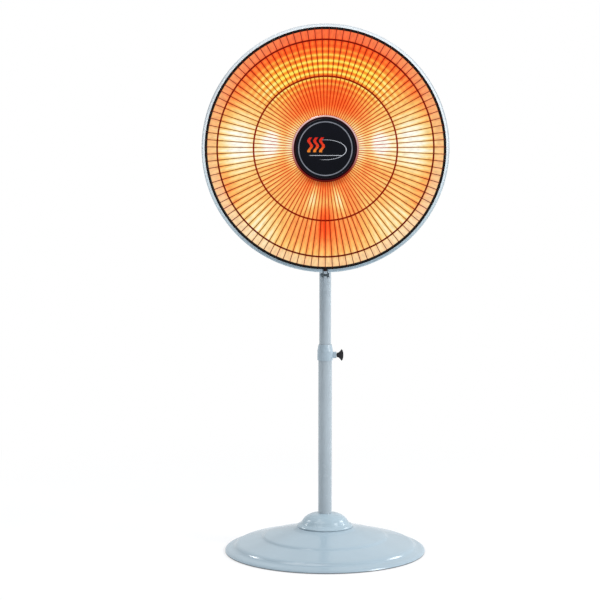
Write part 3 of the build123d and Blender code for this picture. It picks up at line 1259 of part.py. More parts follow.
PIECES = {
    "base_shell": base_shell,
    "cord_gland": cord_gland,
    "ballast_plate": ballast_plate,
    "rubber_feet": rubber_feet,
    "shell_screws": shell_screws,
    "pole_socket": pole_socket,
    "socket_bolts": socket_bolts,
    "dome_cover": dome_cover,
    "tip_switch_case": tip_switch_case,
    "tip_plunger": tip_plunger,
    "lower_tube": lower_tube,
    "height_collar": height_collar,
    "upper_tube": upper_tube,
    "mast_guide": mast_guide,
    "lock_pad": lock_pad,
    "lock_screw": lock_screw,
    "wing_knob": wing_knob,
    "tilt_socket": tilt_socket,
    "mast_screw": mast_screw,
    "tilt_washers": tilt_washers,
    "tilt_bracket": tilt_bracket,
    "tilt_bolt": tilt_bolt,
    "tilt_nut": tilt_nut,
    "swing_post": swing_post,
    "post_clip": post_clip,
    "swing_arm": swing_arm,
    "gear_housing": gear_housing,
    "post_bush": post_bush,
    "rear_cover": rear_cover,
    "cover_screws": cover_screws,
    "housing_screws": housing_screws,
    "motor_bracket": motor_bracket,
    "swing_motor": swing_motor,
    "crank_disc": crank_disc,
    "heat_switch": lambda: control_body(-CONTROL_X),
    "timer_unit": lambda: control_body(CONTROL_X),
    "heat_knob": lambda: control_knob(-CONTROL_X),
    "timer_knob": lambda: control_knob(CONTROL_X),
    "rocker_frame": rocker_frame,
    "swing_rocker": swing_rocker,
    "terminal_block": terminal_block,
    "thermal_cutout": thermal_cutout,
    "rear_bowl": rear_bowl,
    "reflector": reflector,
    "rim_band": rim_band,
    "rim_screw": rim_screw,
    "rim_nut": rim_nut,
    "guard_hoop": guard_hoop,
    "guard_rings": guard_rings,
    "guard_wires": guard_wires,
    "guard_hub": guard_hub,
    "cap_body": cap_body,
    "cap_trim": cap_trim,
    "cap_screws": cap_screws,
    "quartz_tubes": quartz_tubes,
    "carbon_filaments": carbon_filaments,
    "ceramic_ends": ceramic_ends,
    "element_bracket": element_bracket,
    "element_spacers": element_spacers,
    "element_screws": element_screws,
}

os.makedirs("parts", exist_ok=True)
for name, make in PIECES.items():
    export_step(make(), f"parts/{name}.step")
print(len(PIECES), "pieces written")
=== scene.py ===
import json
import math

import bmesh
import bpy
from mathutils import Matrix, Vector


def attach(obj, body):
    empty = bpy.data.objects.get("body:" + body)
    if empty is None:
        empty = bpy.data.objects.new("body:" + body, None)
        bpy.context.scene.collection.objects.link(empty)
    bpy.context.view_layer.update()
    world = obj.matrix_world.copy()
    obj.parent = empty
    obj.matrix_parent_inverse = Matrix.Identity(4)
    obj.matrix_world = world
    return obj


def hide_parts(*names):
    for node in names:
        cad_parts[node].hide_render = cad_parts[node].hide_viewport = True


# Carbon heater. The floor is z = 0, the pole's axis is the Z axis and the dish looks along -Y.
# Blender's places and sizes are in metres. Patterns on the head are laid out in millimetres from the dish's centre,
# and a pair there says where a soft edge starts and where it ends.
MM = 0.001
HEAD_HEIGHT = 0.752

# Guard wires, in millimetres: the points of one wire as (radius, forward) in the head
WIRE_COUNT = 103
WIRE_RADIUS = 0.65
WIRE_SIDES = 6
WIRE_LINE = [
    (52.0, 114.2), (90.0, 114.1), (128.0, 113.6), (162.0, 111.6), (194.0, 108.5), (199.5, 107.0),
    (205.0, 103.4), (209.8, 98.0), (213.0, 93.0), (214.5, 89.8),
]

# Painted glow of the dish, the elements' light and its reflection painted on as emission: painted bright arcs on
# its pressed rings, and painted bright patches as (share, (middle, width) of the turn in degrees, (middle, width)
# of the radius). A share below 0 makes a painted dark patch of shade.
RING_START = 101.7
RING_PITCH = 10.3
DISH_EDGE = (216.0, 213.0)
# Where the painted glow turns to a paler outer band
OUTER_GLOW_RADIUS = (190.0, 203.0)
BESIDE_CAP = (62.0, 76.0)
PAINTED_LIGHT_PATCHES = [
    (-0.20, (46.0, 33.0), (192.0, 17.0)),
    (-0.12, (42.0, 22.0), (84.0, 17.0)),
    (-0.12, (112.0, 16.0), (190.0, 14.0)),
    (0.12, (90.0, 15.0), (96.0, 40.0)),
    (-0.10, (112.0, 14.0), (82.0, 14.0)),
    (0.55, (84.0, 15.0), (100.0, 17.0)),
    (0.50, (87.0, 20.0), (160.0, 38.0)),
    (-0.08, (54.0, 15.0), (165.0, 45.0)),
    (0.06, (62.0, 22.0), (146.0, 32.0)),
    (0.05, (140.0, 18.0), (125.0, 30.0)),
    (0.46, (166.0, 5.5), (95.0, 26.0)),
    (0.20, (180.0, 8.0), (97.0, 12.0)),
    (-0.33, (180.0, 6.5), (138.0, 34.0)),
]

# Painted glow, painted shade and painted reflection round the dish, with the rim band's greyer edge, its dark ears
# and the screw's painted head. Turns are in degrees from straight up.
GUARD_RADIUS = (60.0, 210.0)
GUARD_LOWER_TURN = (50.0, 130.0)
RIM_EDGE = (219.6, 220.8)
EAR_SIDE = (5.6, 4.6)
EAR_TURN = (150.0, 160.0)
SCREW_HEAD = (-4.6, -5.4)
HUB_ROLL = (55.8, 57.6)

# Pointers on the control knobs
KNOB_ACROSS = 28.0
KNOB_UPWARD = 18.0
POINTER_SIDE = (1.1, 0.7)
POINTER_FOOT = (2.0, 2.4)
POINTER_TIP = (14.0, 13.0)

# Motif on the cap: waves side by side, a flattened arc and a line below it
STROKE_SOFT = 0.5
WAVE_MIDDLES = (-27.0, -16.5, -6.0)
WAVE_HALF_WIDTH = 2.9
WAVE_SWAY = 2.6
WAVE_TURN = 0.34  # radians a millimetre
WAVE_FOOT = (-7.0, -5.5)
WAVE_TIP = (20.5, 19.0)
ARC_RADIUS = 37.0
ARC_HALF_WIDTH = 0.9
ARC_MIDDLE = -2.0
ARC_FLATNESS = 2.1
ARC_START = (-12.0, 0.0)
LINE_UPWARD = -12.0
LINE_HALF_WIDTH = 0.7
LINE_LEFT = (-30.0, -26.0)
LINE_RIGHT = (32.0, 26.0)
MOTIF_HEIGHT = (-8.0, 20.0)

# Camera: place in metres, tilt and turn in degrees, lens and sensor in millimetres, reach in metres
CAMERA_PLACE = (0.0, -3.2, HEAD_HEIGHT)
CAMERA_TILT = 85.0
CAMERA_TURN = 0.838
CAMERA_LENS = 103.78
SENSOR_WIDTH = 36.0
CAMERA_REACH = 60.0

# Floor and sky. The floor turns white between the two distances from the heater.
FLOOR_SIZE = 14.0
FLOOR_CELLS = 8
FLOOR_FADE = (0.2, 1.3)
FLOOR_NEAR_WHITE = 0.6
SKY_COLOUR = (0.95, 0.97, 1.0, 1.0)
SKY_STRENGTH = 0.38
WHITE = (1.0, 1.0, 1.0, 1.0)

# Lamps: (name, place, target, size, power)
LAMPS = [
    ("front_right", (2.2, -1.0, 1.5), (0.0, 0.0, 0.4), (0.7, 1.6), 53.0),
    ("side_left", (-1.9, 0.9, 1.5), (0.0, 0.0, 0.1), (0.4, 0.7), 10.0),
    ("side_right", (1.9, 0.9, 1.5), (0.0, 0.0, 0.1), (0.5, 0.8), 14.0),
    ("top", (-0.9, -0.8, 3.0), (0.0, 0.0, 0.2), (2.0, 2.0), 46.0),
]

# Noise stays between these two values, nearly everywhere
NOISE_LOW = 0.3
NOISE_HIGH = 0.7
FINER = 3.7  # scale of the noise of the roughness over that of the colour
COAT_ROUGHNESS = 0.06

# Painted contact shadow, fully dark at this share of its height, and its piece's mirroring, which is weaker at the
# back (Y in metres)
PAINTED_SHADE_FADE = 0.6
PAINTED_SHADE_DARK, PAINTED_SHADE_LIGHT = (78, 84, 90), (90, 97, 103)
BACK_TO_FRONT = (0.03, -0.08)
BACK_MIRROR = 0.15

# Clamp of the rim band: its ears, and its screw between them
LUG_DARK, LUG_LIGHT = (66, 77, 84), (80, 92, 99)

FINISHES = {
    "base_gloss": ((149, 168, 180), (155, 174, 186), (0.14, 0.19),
                   dict(patch=7.0, grain=300.0, relief=0.02, depth=0.0002, painted_shade_height=0.0028)),
    # The dome: the base's plastic painted lighter, as painted light.
    "dome_gloss_painted_light": ((156, 175, 186), (162, 181, 192), (0.17, 0.23),
                   dict(patch=7.0, grain=300.0, relief=0.02, depth=0.0002, mirror=0.25)),
    "collar_gloss": ((157, 174, 185), (164, 181, 192), (0.22, 0.3),
                     dict(patch=30.0, relief=0.03, coat=0.1, mirror=0.4)),
    "pole_paint": ((158, 170, 178), (163, 175, 183), (0.22, 0.28),
                   dict(patch=9.0, grain=500.0, relief=0.02, coat=0.2, mirror=0.4)),
    "bowl_paint": ((168, 185, 197), (173, 190, 202), (0.28, 0.34),
                   dict(patch=5.0, grain=500.0, relief=0.02, depth=0.0001, mirror=0.3)),
    "cover_paint": ((150, 167, 178), (155, 172, 183), (0.32, 0.38),
                    dict(patch=6.0, grain=500.0, relief=0.02, depth=0.0001, mirror=0.3)),
    "dark_screw": ((92, 104, 110), (104, 117, 123), (0.4, 0.5), dict(patch=60.0, mirror=0.2)),
    "hoop_black": ((6, 6, 7), (11, 10, 12), (0.3, 0.45), dict(patch=40.0, mirror=0.15)),
    "bright_trim": ((118, 122, 132), (142, 146, 156), (0.2, 0.34), dict(patch=70.0, metallic=1.0)),
    "zinc_steel": ((168, 168, 162), (196, 195, 186), (0.3, 0.48), dict(patch=120.0, metallic=1.0)),
    "ballast_steel": ((104, 102, 99), (132, 128, 122), (0.5, 0.7), dict(patch=22.0, metallic=0.8)),
    "cast_alloy": ((136, 139, 142), (160, 162, 165), (0.45, 0.6),
                   dict(patch=60.0, metallic=0.85, grain=1500.0, relief=0.3)),
    "motor_case": ((150, 150, 146), (176, 175, 168), (0.35, 0.5), dict(patch=45.0, metallic=0.9)),
    "black_nylon": ((26, 26, 28), (38, 38, 40), (0.45, 0.6), dict(patch=90.0, grain=2200.0, relief=0.2)),
    "white_nylon": ((206, 206, 198), (220, 219, 210), (0.45, 0.6), dict(patch=80.0, grain=2000.0)),
    "brass": ((186, 150, 84), (208, 174, 104), (0.28, 0.42), dict(patch=110.0, metallic=1.0)),
    "rubber": ((28, 28, 28), (44, 43, 42), (0.72, 0.88), dict(patch=60.0, grain=1600.0, relief=0.35)),
    "ceramic": ((224, 216, 202), (240, 234, 222), (0.5, 0.68), dict(patch=90.0, grain=1400.0, relief=0.2)),
}

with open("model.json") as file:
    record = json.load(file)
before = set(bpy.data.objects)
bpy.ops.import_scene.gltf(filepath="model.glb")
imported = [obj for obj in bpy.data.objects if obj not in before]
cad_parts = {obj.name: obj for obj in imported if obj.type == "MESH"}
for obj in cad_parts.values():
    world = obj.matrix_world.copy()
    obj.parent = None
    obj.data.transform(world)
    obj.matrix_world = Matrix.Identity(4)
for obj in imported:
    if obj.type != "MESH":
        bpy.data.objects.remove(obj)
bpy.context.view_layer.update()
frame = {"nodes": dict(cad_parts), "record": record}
nodes = frame["nodes"]
record = frame["record"]


def linear(red, green, blue):
    """A colour written as 0 to 255 screen values, as the linear values that Blender takes."""
    out = []
    for value in (red, green, blue):
        share = value / 255
        out.append(share / 12.92 if share <= 0.04045 else ((share + 0.055) / 1.055) ** 2.4)
    return (*out, 1.0)


class Graph:
    """A node tree with short calls that add nodes to it."""

    def __init__(self, tree):
        self.tree = tree
        tree.nodes.clear()

    def node(self, kind, **settings):
        made = self.tree.nodes.new(kind)
        for key, value in settings.items():
            setattr(made, key, value)
        return made

    def link(self, source, target):
        self.tree.links.new(source, target)

    def put(self, socket, value):
        if isinstance(value, bpy.types.NodeSocket):
            self.link(value, socket)
        else:
            socket.default_value = value

    def math(self, operation, first, second=0.0):
        made = self.node("ShaderNodeMath", operation=operation)
        self.put(made.inputs[0], first)
        self.put(made.inputs[1], second)
        return made.outputs[0]

    def times(self, *values):
        out = values[0]
        for value in values[1:]:
            out = self.math("MULTIPLY", out, value)
        return out

    def plus(self, *values):
        out = values[0]
        for value in values[1:]:
            out = self.math("ADD", out, value)
        return out

    def minus(self, first, second):
        return self.math("SUBTRACT", first, second)

    def absolute(self, value):
        return self.math("ABSOLUTE", value)

    def spread(self, value, low, high, to_low=0.0, to_high=1.0, smooth=True):
        made = self.node("ShaderNodeMapRange", interpolation_type="SMOOTHSTEP" if smooth else "LINEAR")
        sockets = ("Value", "From Min", "From Max", "To Min", "To Max")
        for key, number in zip(sockets, (value, low, high, to_low, to_high)):
            self.put(made.inputs[key], number)
        return made.outputs["Result"]

    def bell(self, value, middle, width):
        """1 at the middle, falling to 0.37 at one width from it."""
        away = self.math("DIVIDE", self.minus(value, middle), width)
        return self.math("EXPONENT", self.times(away, away, -1.0))

    def stroke(self, offset, half_width):
        """1 on a line, 0 beyond half its width."""
        return self.spread(self.absolute(offset), half_width, half_width - STROKE_SOFT)

    def ramp(self, share, stops):
        """Colours along the share, from (position, screen colour) stops."""
        made = self.node("ShaderNodeValToRGB")
        elements = made.color_ramp.elements
        while len(elements) < len(stops):
            elements.new(0.5)
        for element, (position, colour) in zip(elements, stops):
            element.position = position
            element.color = linear(*colour)
        self.put(made.inputs["Fac"], share)
        return made.outputs["Color"]

    def between(self, share, first, second):
        """The first colour where the share is 0, the second where it is 1."""
        made = self.node("ShaderNodeMix", data_type="RGBA")
        self.put(made.inputs["Factor"], share)
        self.put(made.inputs["A"], first)
        self.put(made.inputs["B"], second)
        return made.outputs["Result"]

    def blend(self, share, first, second, output):
        """The first shader where the share is 0, the second where it is 1, as the tree's result."""
        made = self.node("ShaderNodeMixShader")
        for socket, source in zip(made.inputs, (share, first, second)):
            self.link(source, socket)
        self.link(made.outputs["Shader"], output.inputs["Surface"])

    def background_rays(self):
        """1 for camera, mirror and glass rays, 0 for the rest."""
        path = self.node("ShaderNodeLightPath")
        both = self.math("MAXIMUM", path.outputs["Is Camera Ray"], path.outputs["Is Glossy Ray"])
        return self.math("MAXIMUM", both, path.outputs["Is Transmission Ray"])


class Shader(Graph):
    """A Principled material, with its pattern laid out in the part's frame."""

    def __init__(self, name):
        self.material = bpy.data.materials.new(name)
        self.material.use_nodes = True
        super().__init__(self.material.node_tree)
        self.output = self.node("ShaderNodeOutputMaterial")
        self.surface = self.node("ShaderNodeBsdfPrincipled")
        self.link(self.surface.outputs["BSDF"], self.output.inputs["Surface"])
        self.place = self.node("ShaderNodeTexCoord").outputs["Object"]

    def set(self, **values):
        for key, value in values.items():
            self.put(self.surface.inputs[key.replace("_", " ")], value)

    def axes(self):
        """X, Y and Z in metres."""
        made = self.node("ShaderNodeSeparateXYZ")
        self.link(self.place, made.inputs["Vector"])
        return made.outputs

    def plane(self):
        """Millimetres across and upward from the dish's centre, as seen from the front."""
        across, _, height = self.axes()
        return self.times(across, 1 / MM), self.times(self.minus(height, HEAD_HEIGHT), 1 / MM)

    def polar(self):
        """Millimetres from the dish's centre, degrees from straight up on either side, and the same with a sign."""
        across, upward = self.plane()
        radius = self.math("SQRT", self.plus(self.times(across, across), self.times(upward, upward)))
        turn = self.times(self.math("ARCTAN2", across, upward), 180 / math.pi)
        return radius, self.absolute(turn), turn

    def noise(self, scale, detail=3.0, place=None):
        made = self.node("ShaderNodeTexNoise")
        made.inputs["Scale"].default_value = scale
        made.inputs["Detail"].default_value = detail
        self.link(place or self.place, made.inputs["Vector"])
        return made.outputs["Fac"]

    def streaks(self, turn, along, radius, outward, layer):
        """Noise about 0 over the dish: its steps per degree of turn and per millimetre outward, and its layer."""
        made = self.node("ShaderNodeCombineXYZ")
        for socket, value in zip(made.inputs, (self.times(turn, along), self.times(radius, outward), layer)):
            self.put(socket, value)
        return self.minus(self.noise(1.0, 2.0, made.outputs["Vector"]), 0.5)

    def vary(self, scale, low, high, detail=3.0):
        """A value that wanders from low to high."""
        return self.spread(self.noise(scale, detail), NOISE_LOW, NOISE_HIGH, low, high)

    def mottle(self, source, dark, light):
        """A colour that wanders from dark to light with a noise, or with a new noise of the scale given."""
        if not isinstance(source, bpy.types.NodeSocket):
            source = self.noise(source)
        return self.ramp(source, [(NOISE_LOW, dark), (NOISE_HIGH, light)])

    def bump(self, scale, strength, distance, detail=3.0):
        made = self.node("ShaderNodeBump")
        made.inputs["Strength"].default_value = strength
        made.inputs["Distance"].default_value = distance
        self.link(self.noise(scale, detail), made.inputs["Height"])
        self.link(made.outputs["Normal"], self.surface.inputs["Normal"])


def finish(name, dark, light, roughness, patch, metallic=0.0, grain=900.0, relief=0.1, depth=0.00005,
           coat=0.0, mirror=0.5, painted_shade_height=None):
    """A material whose colour drifts from dark to light in patches, with its roughness, and a fine relief.

    The last argument gives a painted contact shadow: a height above the floor, in metres, below which the colour
    turns dark.
    A piece with it also mirrors less towards its back.
    """
    made = Shader(name)
    drift = made.noise(patch, 4.0)
    colour = made.ramp(made.spread(drift, NOISE_LOW, NOISE_HIGH), [(0.0, dark), (1.0, light)])
    # Painted contact shadow: darker below the given height.
    if painted_shade_height:
        _, back, height = made.axes()
        shade = made.mottle(drift, PAINTED_SHADE_DARK, PAINTED_SHADE_LIGHT)
        colour = made.between(made.spread(height, painted_shade_height, painted_shade_height * PAINTED_SHADE_FADE), colour, shade)
        mirror = made.spread(back, *BACK_TO_FRONT, mirror * BACK_MIRROR, mirror)
    made.set(
        Base_Color=colour, Roughness=made.vary(patch * FINER, *roughness, detail=5.0), Metallic=metallic,
        Specular_IOR_Level=mirror,
    )
    if coat:
        made.set(Coat_Weight=coat, Coat_Roughness=COAT_ROUGHNESS)
    made.bump(grain, relief, depth, 2.0)
    return made.material


def reflector_metal():
    """Polished dish with the elements' light painted on as emission: painted glow white hot at the sides, red at
    the top, streaks below, painted bright arcs on the pressed rings, painted shade under the cap and along the
    wires.
    """
    made = Shader("reflector_painted_glow")
    radius, turn, signed_turn = made.polar()

    def part(share, *shapes):
        return made.times(*shapes, share)

    top = made.spread(turn, 66.0, 30.0)
    ring = made.math("FRACT", made.math("DIVIDE", made.minus(radius, RING_START), RING_PITCH))
    spoke = made.math("FRACT", made.times(signed_turn, WIRE_COUNT / 360))
    # Painted shade: dark lines where the wires' shadows and reflections lie, beside the cap.
    painted_wire_shade = made.bell(made.absolute(made.minus(spoke, 0.5)), 0.0, 0.21)
    streaks = made.streaks(signed_turn, 0.45, radius, 0.012, 0.0)
    beside_cap = made.spread(radius, *BESIDE_CAP)
    level = made.plus(
        0.07,
        part(0.40, made.spread(turn, 10.0, 62.0)),
        part(-0.10, made.spread(turn, 100.0, 150.0)),
        part(-0.06, made.spread(turn, 135.0, 160.0)),
        # Painted shade below the cap.
        part(-0.12, made.spread(turn, 140.0, 165.0), made.spread(radius, 104.0, 64.0)),
        part(0.34, made.spread(turn, 108.0, 138.0), made.spread(turn, 166.0, 140.0),
             made.bell(radius, 178.0, 42.0)),
        part(0.26, made.spread(turn, 120.0, 170.0), made.bell(radius, 203.0, 30.0)),
        part(0.30, made.spread(turn, 150.0, 100.0), made.bell(radius, 64.0, 10.0)),
        part(0.13, made.spread(turn, 56.0, 24.0), made.bell(radius, 150.0, 26.0)),
        # Painted highlight: bright arcs on the pressed rings at the top.
        part(0.80, top, made.bell(ring, 0.5, 0.25), made.bell(radius, 147.0, 29.0)),
        part(0.46, streaks, made.spread(turn, 20.0, 70.0)),
        part(0.09, beside_cap),
        part(-0.26, painted_wire_shade, beside_cap),
        part(0.10, made.minus(made.noise(70.0, 5.0), 0.5)),
        *(part(share, made.bell(turn, *aside), made.bell(radius, *outward)) for share, aside, outward in PAINTED_LIGHT_PATCHES),
    )
    heat = made.ramp(level, [
        (0.0, (250, 70, 26)), (0.1, (253, 98, 42)), (0.2, (254, 119, 54)), (0.33, (253, 145, 74)),
        (0.45, (252, 168, 90)), (0.55, (252, 190, 104)), (0.67, (253, 210, 132)), (0.77, (254, 226, 160)),
        (0.87, (255, 240, 196)), (1.0, (255, 253, 240)),
    ])
    yellow = made.ramp(level, [
        (0.0, (250, 70, 22)), (0.2, (254, 110, 34)), (0.45, (254, 166, 42)), (0.85, (255, 230, 96)),
    ])
    outer_glow = made.ramp(made.math("DIVIDE", turn, 180.0), [
        (0.0, (251, 114, 72)), (0.33, (244, 158, 112)), (0.5, (244, 194, 142)), (0.75, (250, 222, 190)),
        (1.0, (246, 208, 162)),
    ])
    colour = made.between(made.times(top, made.bell(radius, 150.0, 42.0)), heat, yellow)
    # Painted glow in a paler tone near the dish's edge.
    colour = made.between(made.times(made.spread(radius, *OUTER_GLOW_RADIUS), 0.6), colour, outer_glow)
    strength = made.plus(
        1.0,
        # Painted shade between the bright arcs, and under the cap at the bottom.
        part(-0.2, made.bell(ring, 0.0, 0.1), top, made.bell(radius, 152.0, 40.0)),
        part(-0.45, made.spread(turn, 120.0, 160.0), made.spread(radius, 74.0, 62.0)),
        part(0.7, made.streaks(signed_turn, 0.9, radius, 0.1, 3.0)),
    )
    made.set(
        Base_Color=linear(44, 22, 14), Metallic=1.0, Roughness=made.vary(40.0, 0.24, 0.4),
        Emission_Color=colour, Emission_Strength=made.times(made.spread(radius, *DISH_EDGE), strength),
    )
    made.bump(500.0, 0.04, 0.0001)
    return made.material


def enamel_with_painted_glow(name, inner, middle, upper, lower):
    """Enamel with the dish's glow painted on: painted glow as colour and emission, brightest near the dish's centre
    and at its top, with painted shade on its lower part.
    """
    made = Shader(name)
    radius, turn, _ = made.polar()
    share = made.plus(made.spread(radius, *GUARD_RADIUS, smooth=False), made.times(0.1, made.noise(60.0)))
    above, below = (made.ramp(share, [(0.1, inner), (0.5, middle), (1.0, outer)]) for outer in (upper, lower))
    # Painted shade: the lower part of the guard is darker.
    tint = made.between(made.spread(turn, *GUARD_LOWER_TURN), above, below)
    made.set(
        Base_Color=tint, Roughness=made.vary(90.0, 0.4, 0.55), Specular_IOR_Level=0.03,
        Emission_Color=tint, Emission_Strength=0.45,
    )
    made.bump(900.0, 0.1, 0.00005)
    return made.material


def rim_paint():
    """Enamel of the rim band, pale above and darker below as painted shade, with a greyer outer edge and dark ears.
    """
    made = Shader("rim_paint")
    radius, turn, _ = made.polar()
    across, _ = made.plane()
    # Painted shade: the band's face and edge turn darker towards the bottom.
    share = made.plus(made.math("DIVIDE", turn, 180.0), made.times(0.04, made.noise(30.0)))
    face = made.ramp(share, [
        (0.0, (230, 239, 244)), (0.5, (230, 240, 245)), (0.68, (196, 214, 222)), (0.85, (146, 166, 178)),
        (1.0, (150, 170, 182)),
    ])
    edge = made.ramp(share, [
        (0.0, (206, 214, 220)), (0.2, (216, 224, 229)), (0.38, (178, 188, 194)), (0.68, (184, 200, 208)),
        (0.85, (164, 184, 196)), (1.0, (172, 192, 204)),
    ])
    ears = made.times(made.spread(made.absolute(across), *EAR_SIDE), made.spread(turn, *EAR_TURN))
    tint = made.between(made.spread(radius, *RIM_EDGE), face, edge)
    tint = made.between(ears, tint, made.mottle(90.0, LUG_DARK, LUG_LIGHT))
    made.set(Base_Color=tint, Roughness=made.vary(52.0, 0.42, 0.5), Specular_IOR_Level=0.25)
    made.bump(60.0, 0.02, 0.0001)
    return made.material


def screw_paint():
    """Clamp screw of the rim band: dark between the band's ears as painted shade, and painted on its head."""
    made = Shader("screw_paint")
    across, _ = made.plane()
    dark = made.mottle(90.0, LUG_DARK, LUG_LIGHT)
    pale = made.mottle(90.0, (146, 162, 172), (156, 172, 182))
    made.set(
        Base_Color=made.between(made.spread(across, *SCREW_HEAD), dark, pale),
        Roughness=made.vary(120.0, 0.4, 0.5), Specular_IOR_Level=0.25,
    )
    made.bump(600.0, 0.03, 0.0001)
    return made.material


def knob_black():
    """Black plastic, with a pale printed pointer on the grip of each control knob."""
    made = Shader("knob_black")
    across, upward = made.plane()
    aside = made.absolute(made.minus(made.absolute(across), KNOB_ACROSS))
    above = made.minus(upward, KNOB_UPWARD)
    pointer = made.times(
        made.spread(aside, *POINTER_SIDE), made.spread(above, *POINTER_FOOT), made.spread(above, *POINTER_TIP),
    )
    ground = made.mottle(80.0, (11, 12, 17), (18, 20, 26))
    pale = made.mottle(200.0, (214, 218, 222), (226, 230, 233))
    made.set(
        Base_Color=made.between(pointer, ground, pale), Roughness=made.vary(260.0, 0.32, 0.46),
        Specular_IOR_Level=0.35,
    )
    made.bump(2600.0, 0.25, 0.00008)
    return made.material


def hub_chrome():
    """Chromed roll with a painted reflection: pale like the room above and dark red like the dish below."""
    made = Shader("hub_chrome")
    radius, turn, _ = made.polar()
    share = made.plus(made.math("DIVIDE", turn, 180.0), made.times(0.06, made.noise(90.0)))
    # Painted reflection: pale at the top, dark red at the bottom.
    painted_reflection = made.ramp(share, [
        (0.0, (242, 206, 198)), (0.4, (222, 184, 186)), (0.62, (196, 128, 126)), (0.76, (138, 34, 20)),
        (1.0, (112, 18, 8)),
    ])
    inside = made.mottle(90.0, (58, 22, 30), (76, 30, 38))
    tint = made.between(made.spread(radius, *HUB_ROLL), inside, painted_reflection)
    made.set(Base_Color=tint, Metallic=1.0, Roughness=made.vary(160.0, 0.14, 0.24))
    made.bump(600.0, 0.04, 0.0001)
    return made.material


def cap_black():
    """Gloss black with a printed motif: three rising red waves over a thin silver arc and line."""
    made = Shader("cap_black")
    across, upward = made.plane()
    sway = made.times(made.math("SINE", made.times(upward, WAVE_TURN)), WAVE_SWAY)
    ends = made.times(made.spread(upward, *WAVE_FOOT), made.spread(upward, *WAVE_TIP))
    waves = 0.0
    for middle in WAVE_MIDDLES:
        wave = made.stroke(made.minus(made.minus(across, sway), middle), WAVE_HALF_WIDTH)
        waves = made.math("MAXIMUM", made.times(wave, ends), waves)
    flat = made.times(made.minus(upward, ARC_MIDDLE), ARC_FLATNESS)
    far = made.math("SQRT", made.plus(made.times(across, across), made.times(flat, flat)))
    arc = made.times(made.stroke(made.minus(far, ARC_RADIUS), ARC_HALF_WIDTH), made.spread(across, *ARC_START))
    line = made.times(
        made.stroke(made.minus(upward, LINE_UPWARD), LINE_HALF_WIDTH),
        made.spread(across, *LINE_LEFT), made.spread(across, *LINE_RIGHT),
    )
    ground = made.mottle(30.0, (5, 7, 15), (9, 11, 20))
    silver = made.mottle(60.0, (176, 180, 188), (206, 210, 216))
    red = made.ramp(made.spread(upward, *MOTIF_HEIGHT, smooth=False), [
        (0.0, (238, 150, 48)), (0.4, (226, 62, 30)), (1.0, (206, 34, 26)),
    ])
    made.set(
        Base_Color=made.between(waves, made.between(made.math("MAXIMUM", arc, line), ground, silver), red),
        Roughness=made.vary(40.0, 0.1, 0.16), Specular_IOR_Level=0.08,
    )
    made.bump(300.0, 0.02, 0.0001)
    return made.material


def hot_carbon():
    """Glowing carbon: bright strands along the tubes in a slightly darker body."""
    made = Shader("hot_carbon")
    drawn_out = made.node("ShaderNodeMapping")
    drawn_out.inputs["Scale"].default_value = (1.0, 1.0, 0.04)
    made.link(made.place, drawn_out.inputs["Vector"])
    strands = made.noise(1400.0, 4.0, drawn_out.outputs["Vector"])
    made.set(
        Base_Color=linear(30, 24, 22), Roughness=0.7,
        Emission_Color=made.mottle(strands, (255, 150, 70), (255, 236, 196)), Emission_Strength=2.2,
    )
    return made.material


def quartz():
    """Clear quartz, with the glow inside painted on as a faint emission."""
    made = Shader("quartz")
    made.set(
        Base_Color=linear(255, 244, 232), Roughness=made.vary(200.0, 0.03, 0.1), IOR=1.46,
        Transmission_Weight=0.85, Emission_Color=linear(255, 176, 96), Emission_Strength=0.25,
    )
    made.bump(300.0, 0.05, 0.0001)
    return made.material


def dress(obj, material):
    """The object gets this one material in every slot that it has."""
    if not obj.material_slots:
        obj.data.materials.append(material)
    for slot in obj.material_slots:
        slot.material = material


materials = {
    name: finish(name, dark, light, roughness, **more)
    for name, (dark, light, roughness, more) in FINISHES.items()
}
materials.update(
    reflector_metal=reflector_metal(),
    # The guard's wires and rings carry painted glow.
    guard_red_brown=enamel_with_painted_glow("guard_red_brown", (180, 46, 4), (118, 34, 4), (92, 22, 4), (58, 22, 6)),
    ring_maroon=enamel_with_painted_glow("ring_maroon", (122, 8, 0), (122, 8, 0), (110, 6, 0), (88, 6, 2)),
    hub_chrome=hub_chrome(),
    knob_black=knob_black(),
    rim_paint=rim_paint(),
    screw_paint=screw_paint(),
    cap_black=cap_black(),
    hot_carbon=hot_carbon(),
    quartz=quartz(),
)

# The record's slots, apart from pieces that look different from the rest of their slot
slot_of = {entry["node"]: entry["material_slot"] for entry in record["subparts"]}
slot_of.update(
    guard_rings="ring_maroon",
    guard_hub="hub_chrome",
    dome_cover="dome_gloss_painted_light",
    rear_bowl="bowl_paint",
    rear_cover="cover_paint",
    rim_band="rim_paint",
    rim_screw="screw_paint",
    rim_nut="dark_screw",
)
for name, obj in nodes.items():
    dress(obj, materials[slot_of[name]])


def to_object(name, mesh, body, material, slot, *replaced):
    """A mesh becomes a piece of the heater that rides on a body, in place of the pieces named last."""
    data = bpy.data.meshes.new(name)
    mesh.to_mesh(data)
    mesh.free()
    for polygon in data.polygons:
        polygon.use_smooth = True
    obj = bpy.data.objects.new(name, data)
    bpy.context.scene.collection.objects.link(obj)
    obj.data.materials.append(material)
    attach(obj, body)
    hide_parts(*replaced)


def in_head(across, upward, forward):
    """A place in the head, in millimetres to the right, up and forward of its axis, in metres."""
    return Vector((across * MM, -forward * MM, HEAD_HEIGHT + upward * MM))


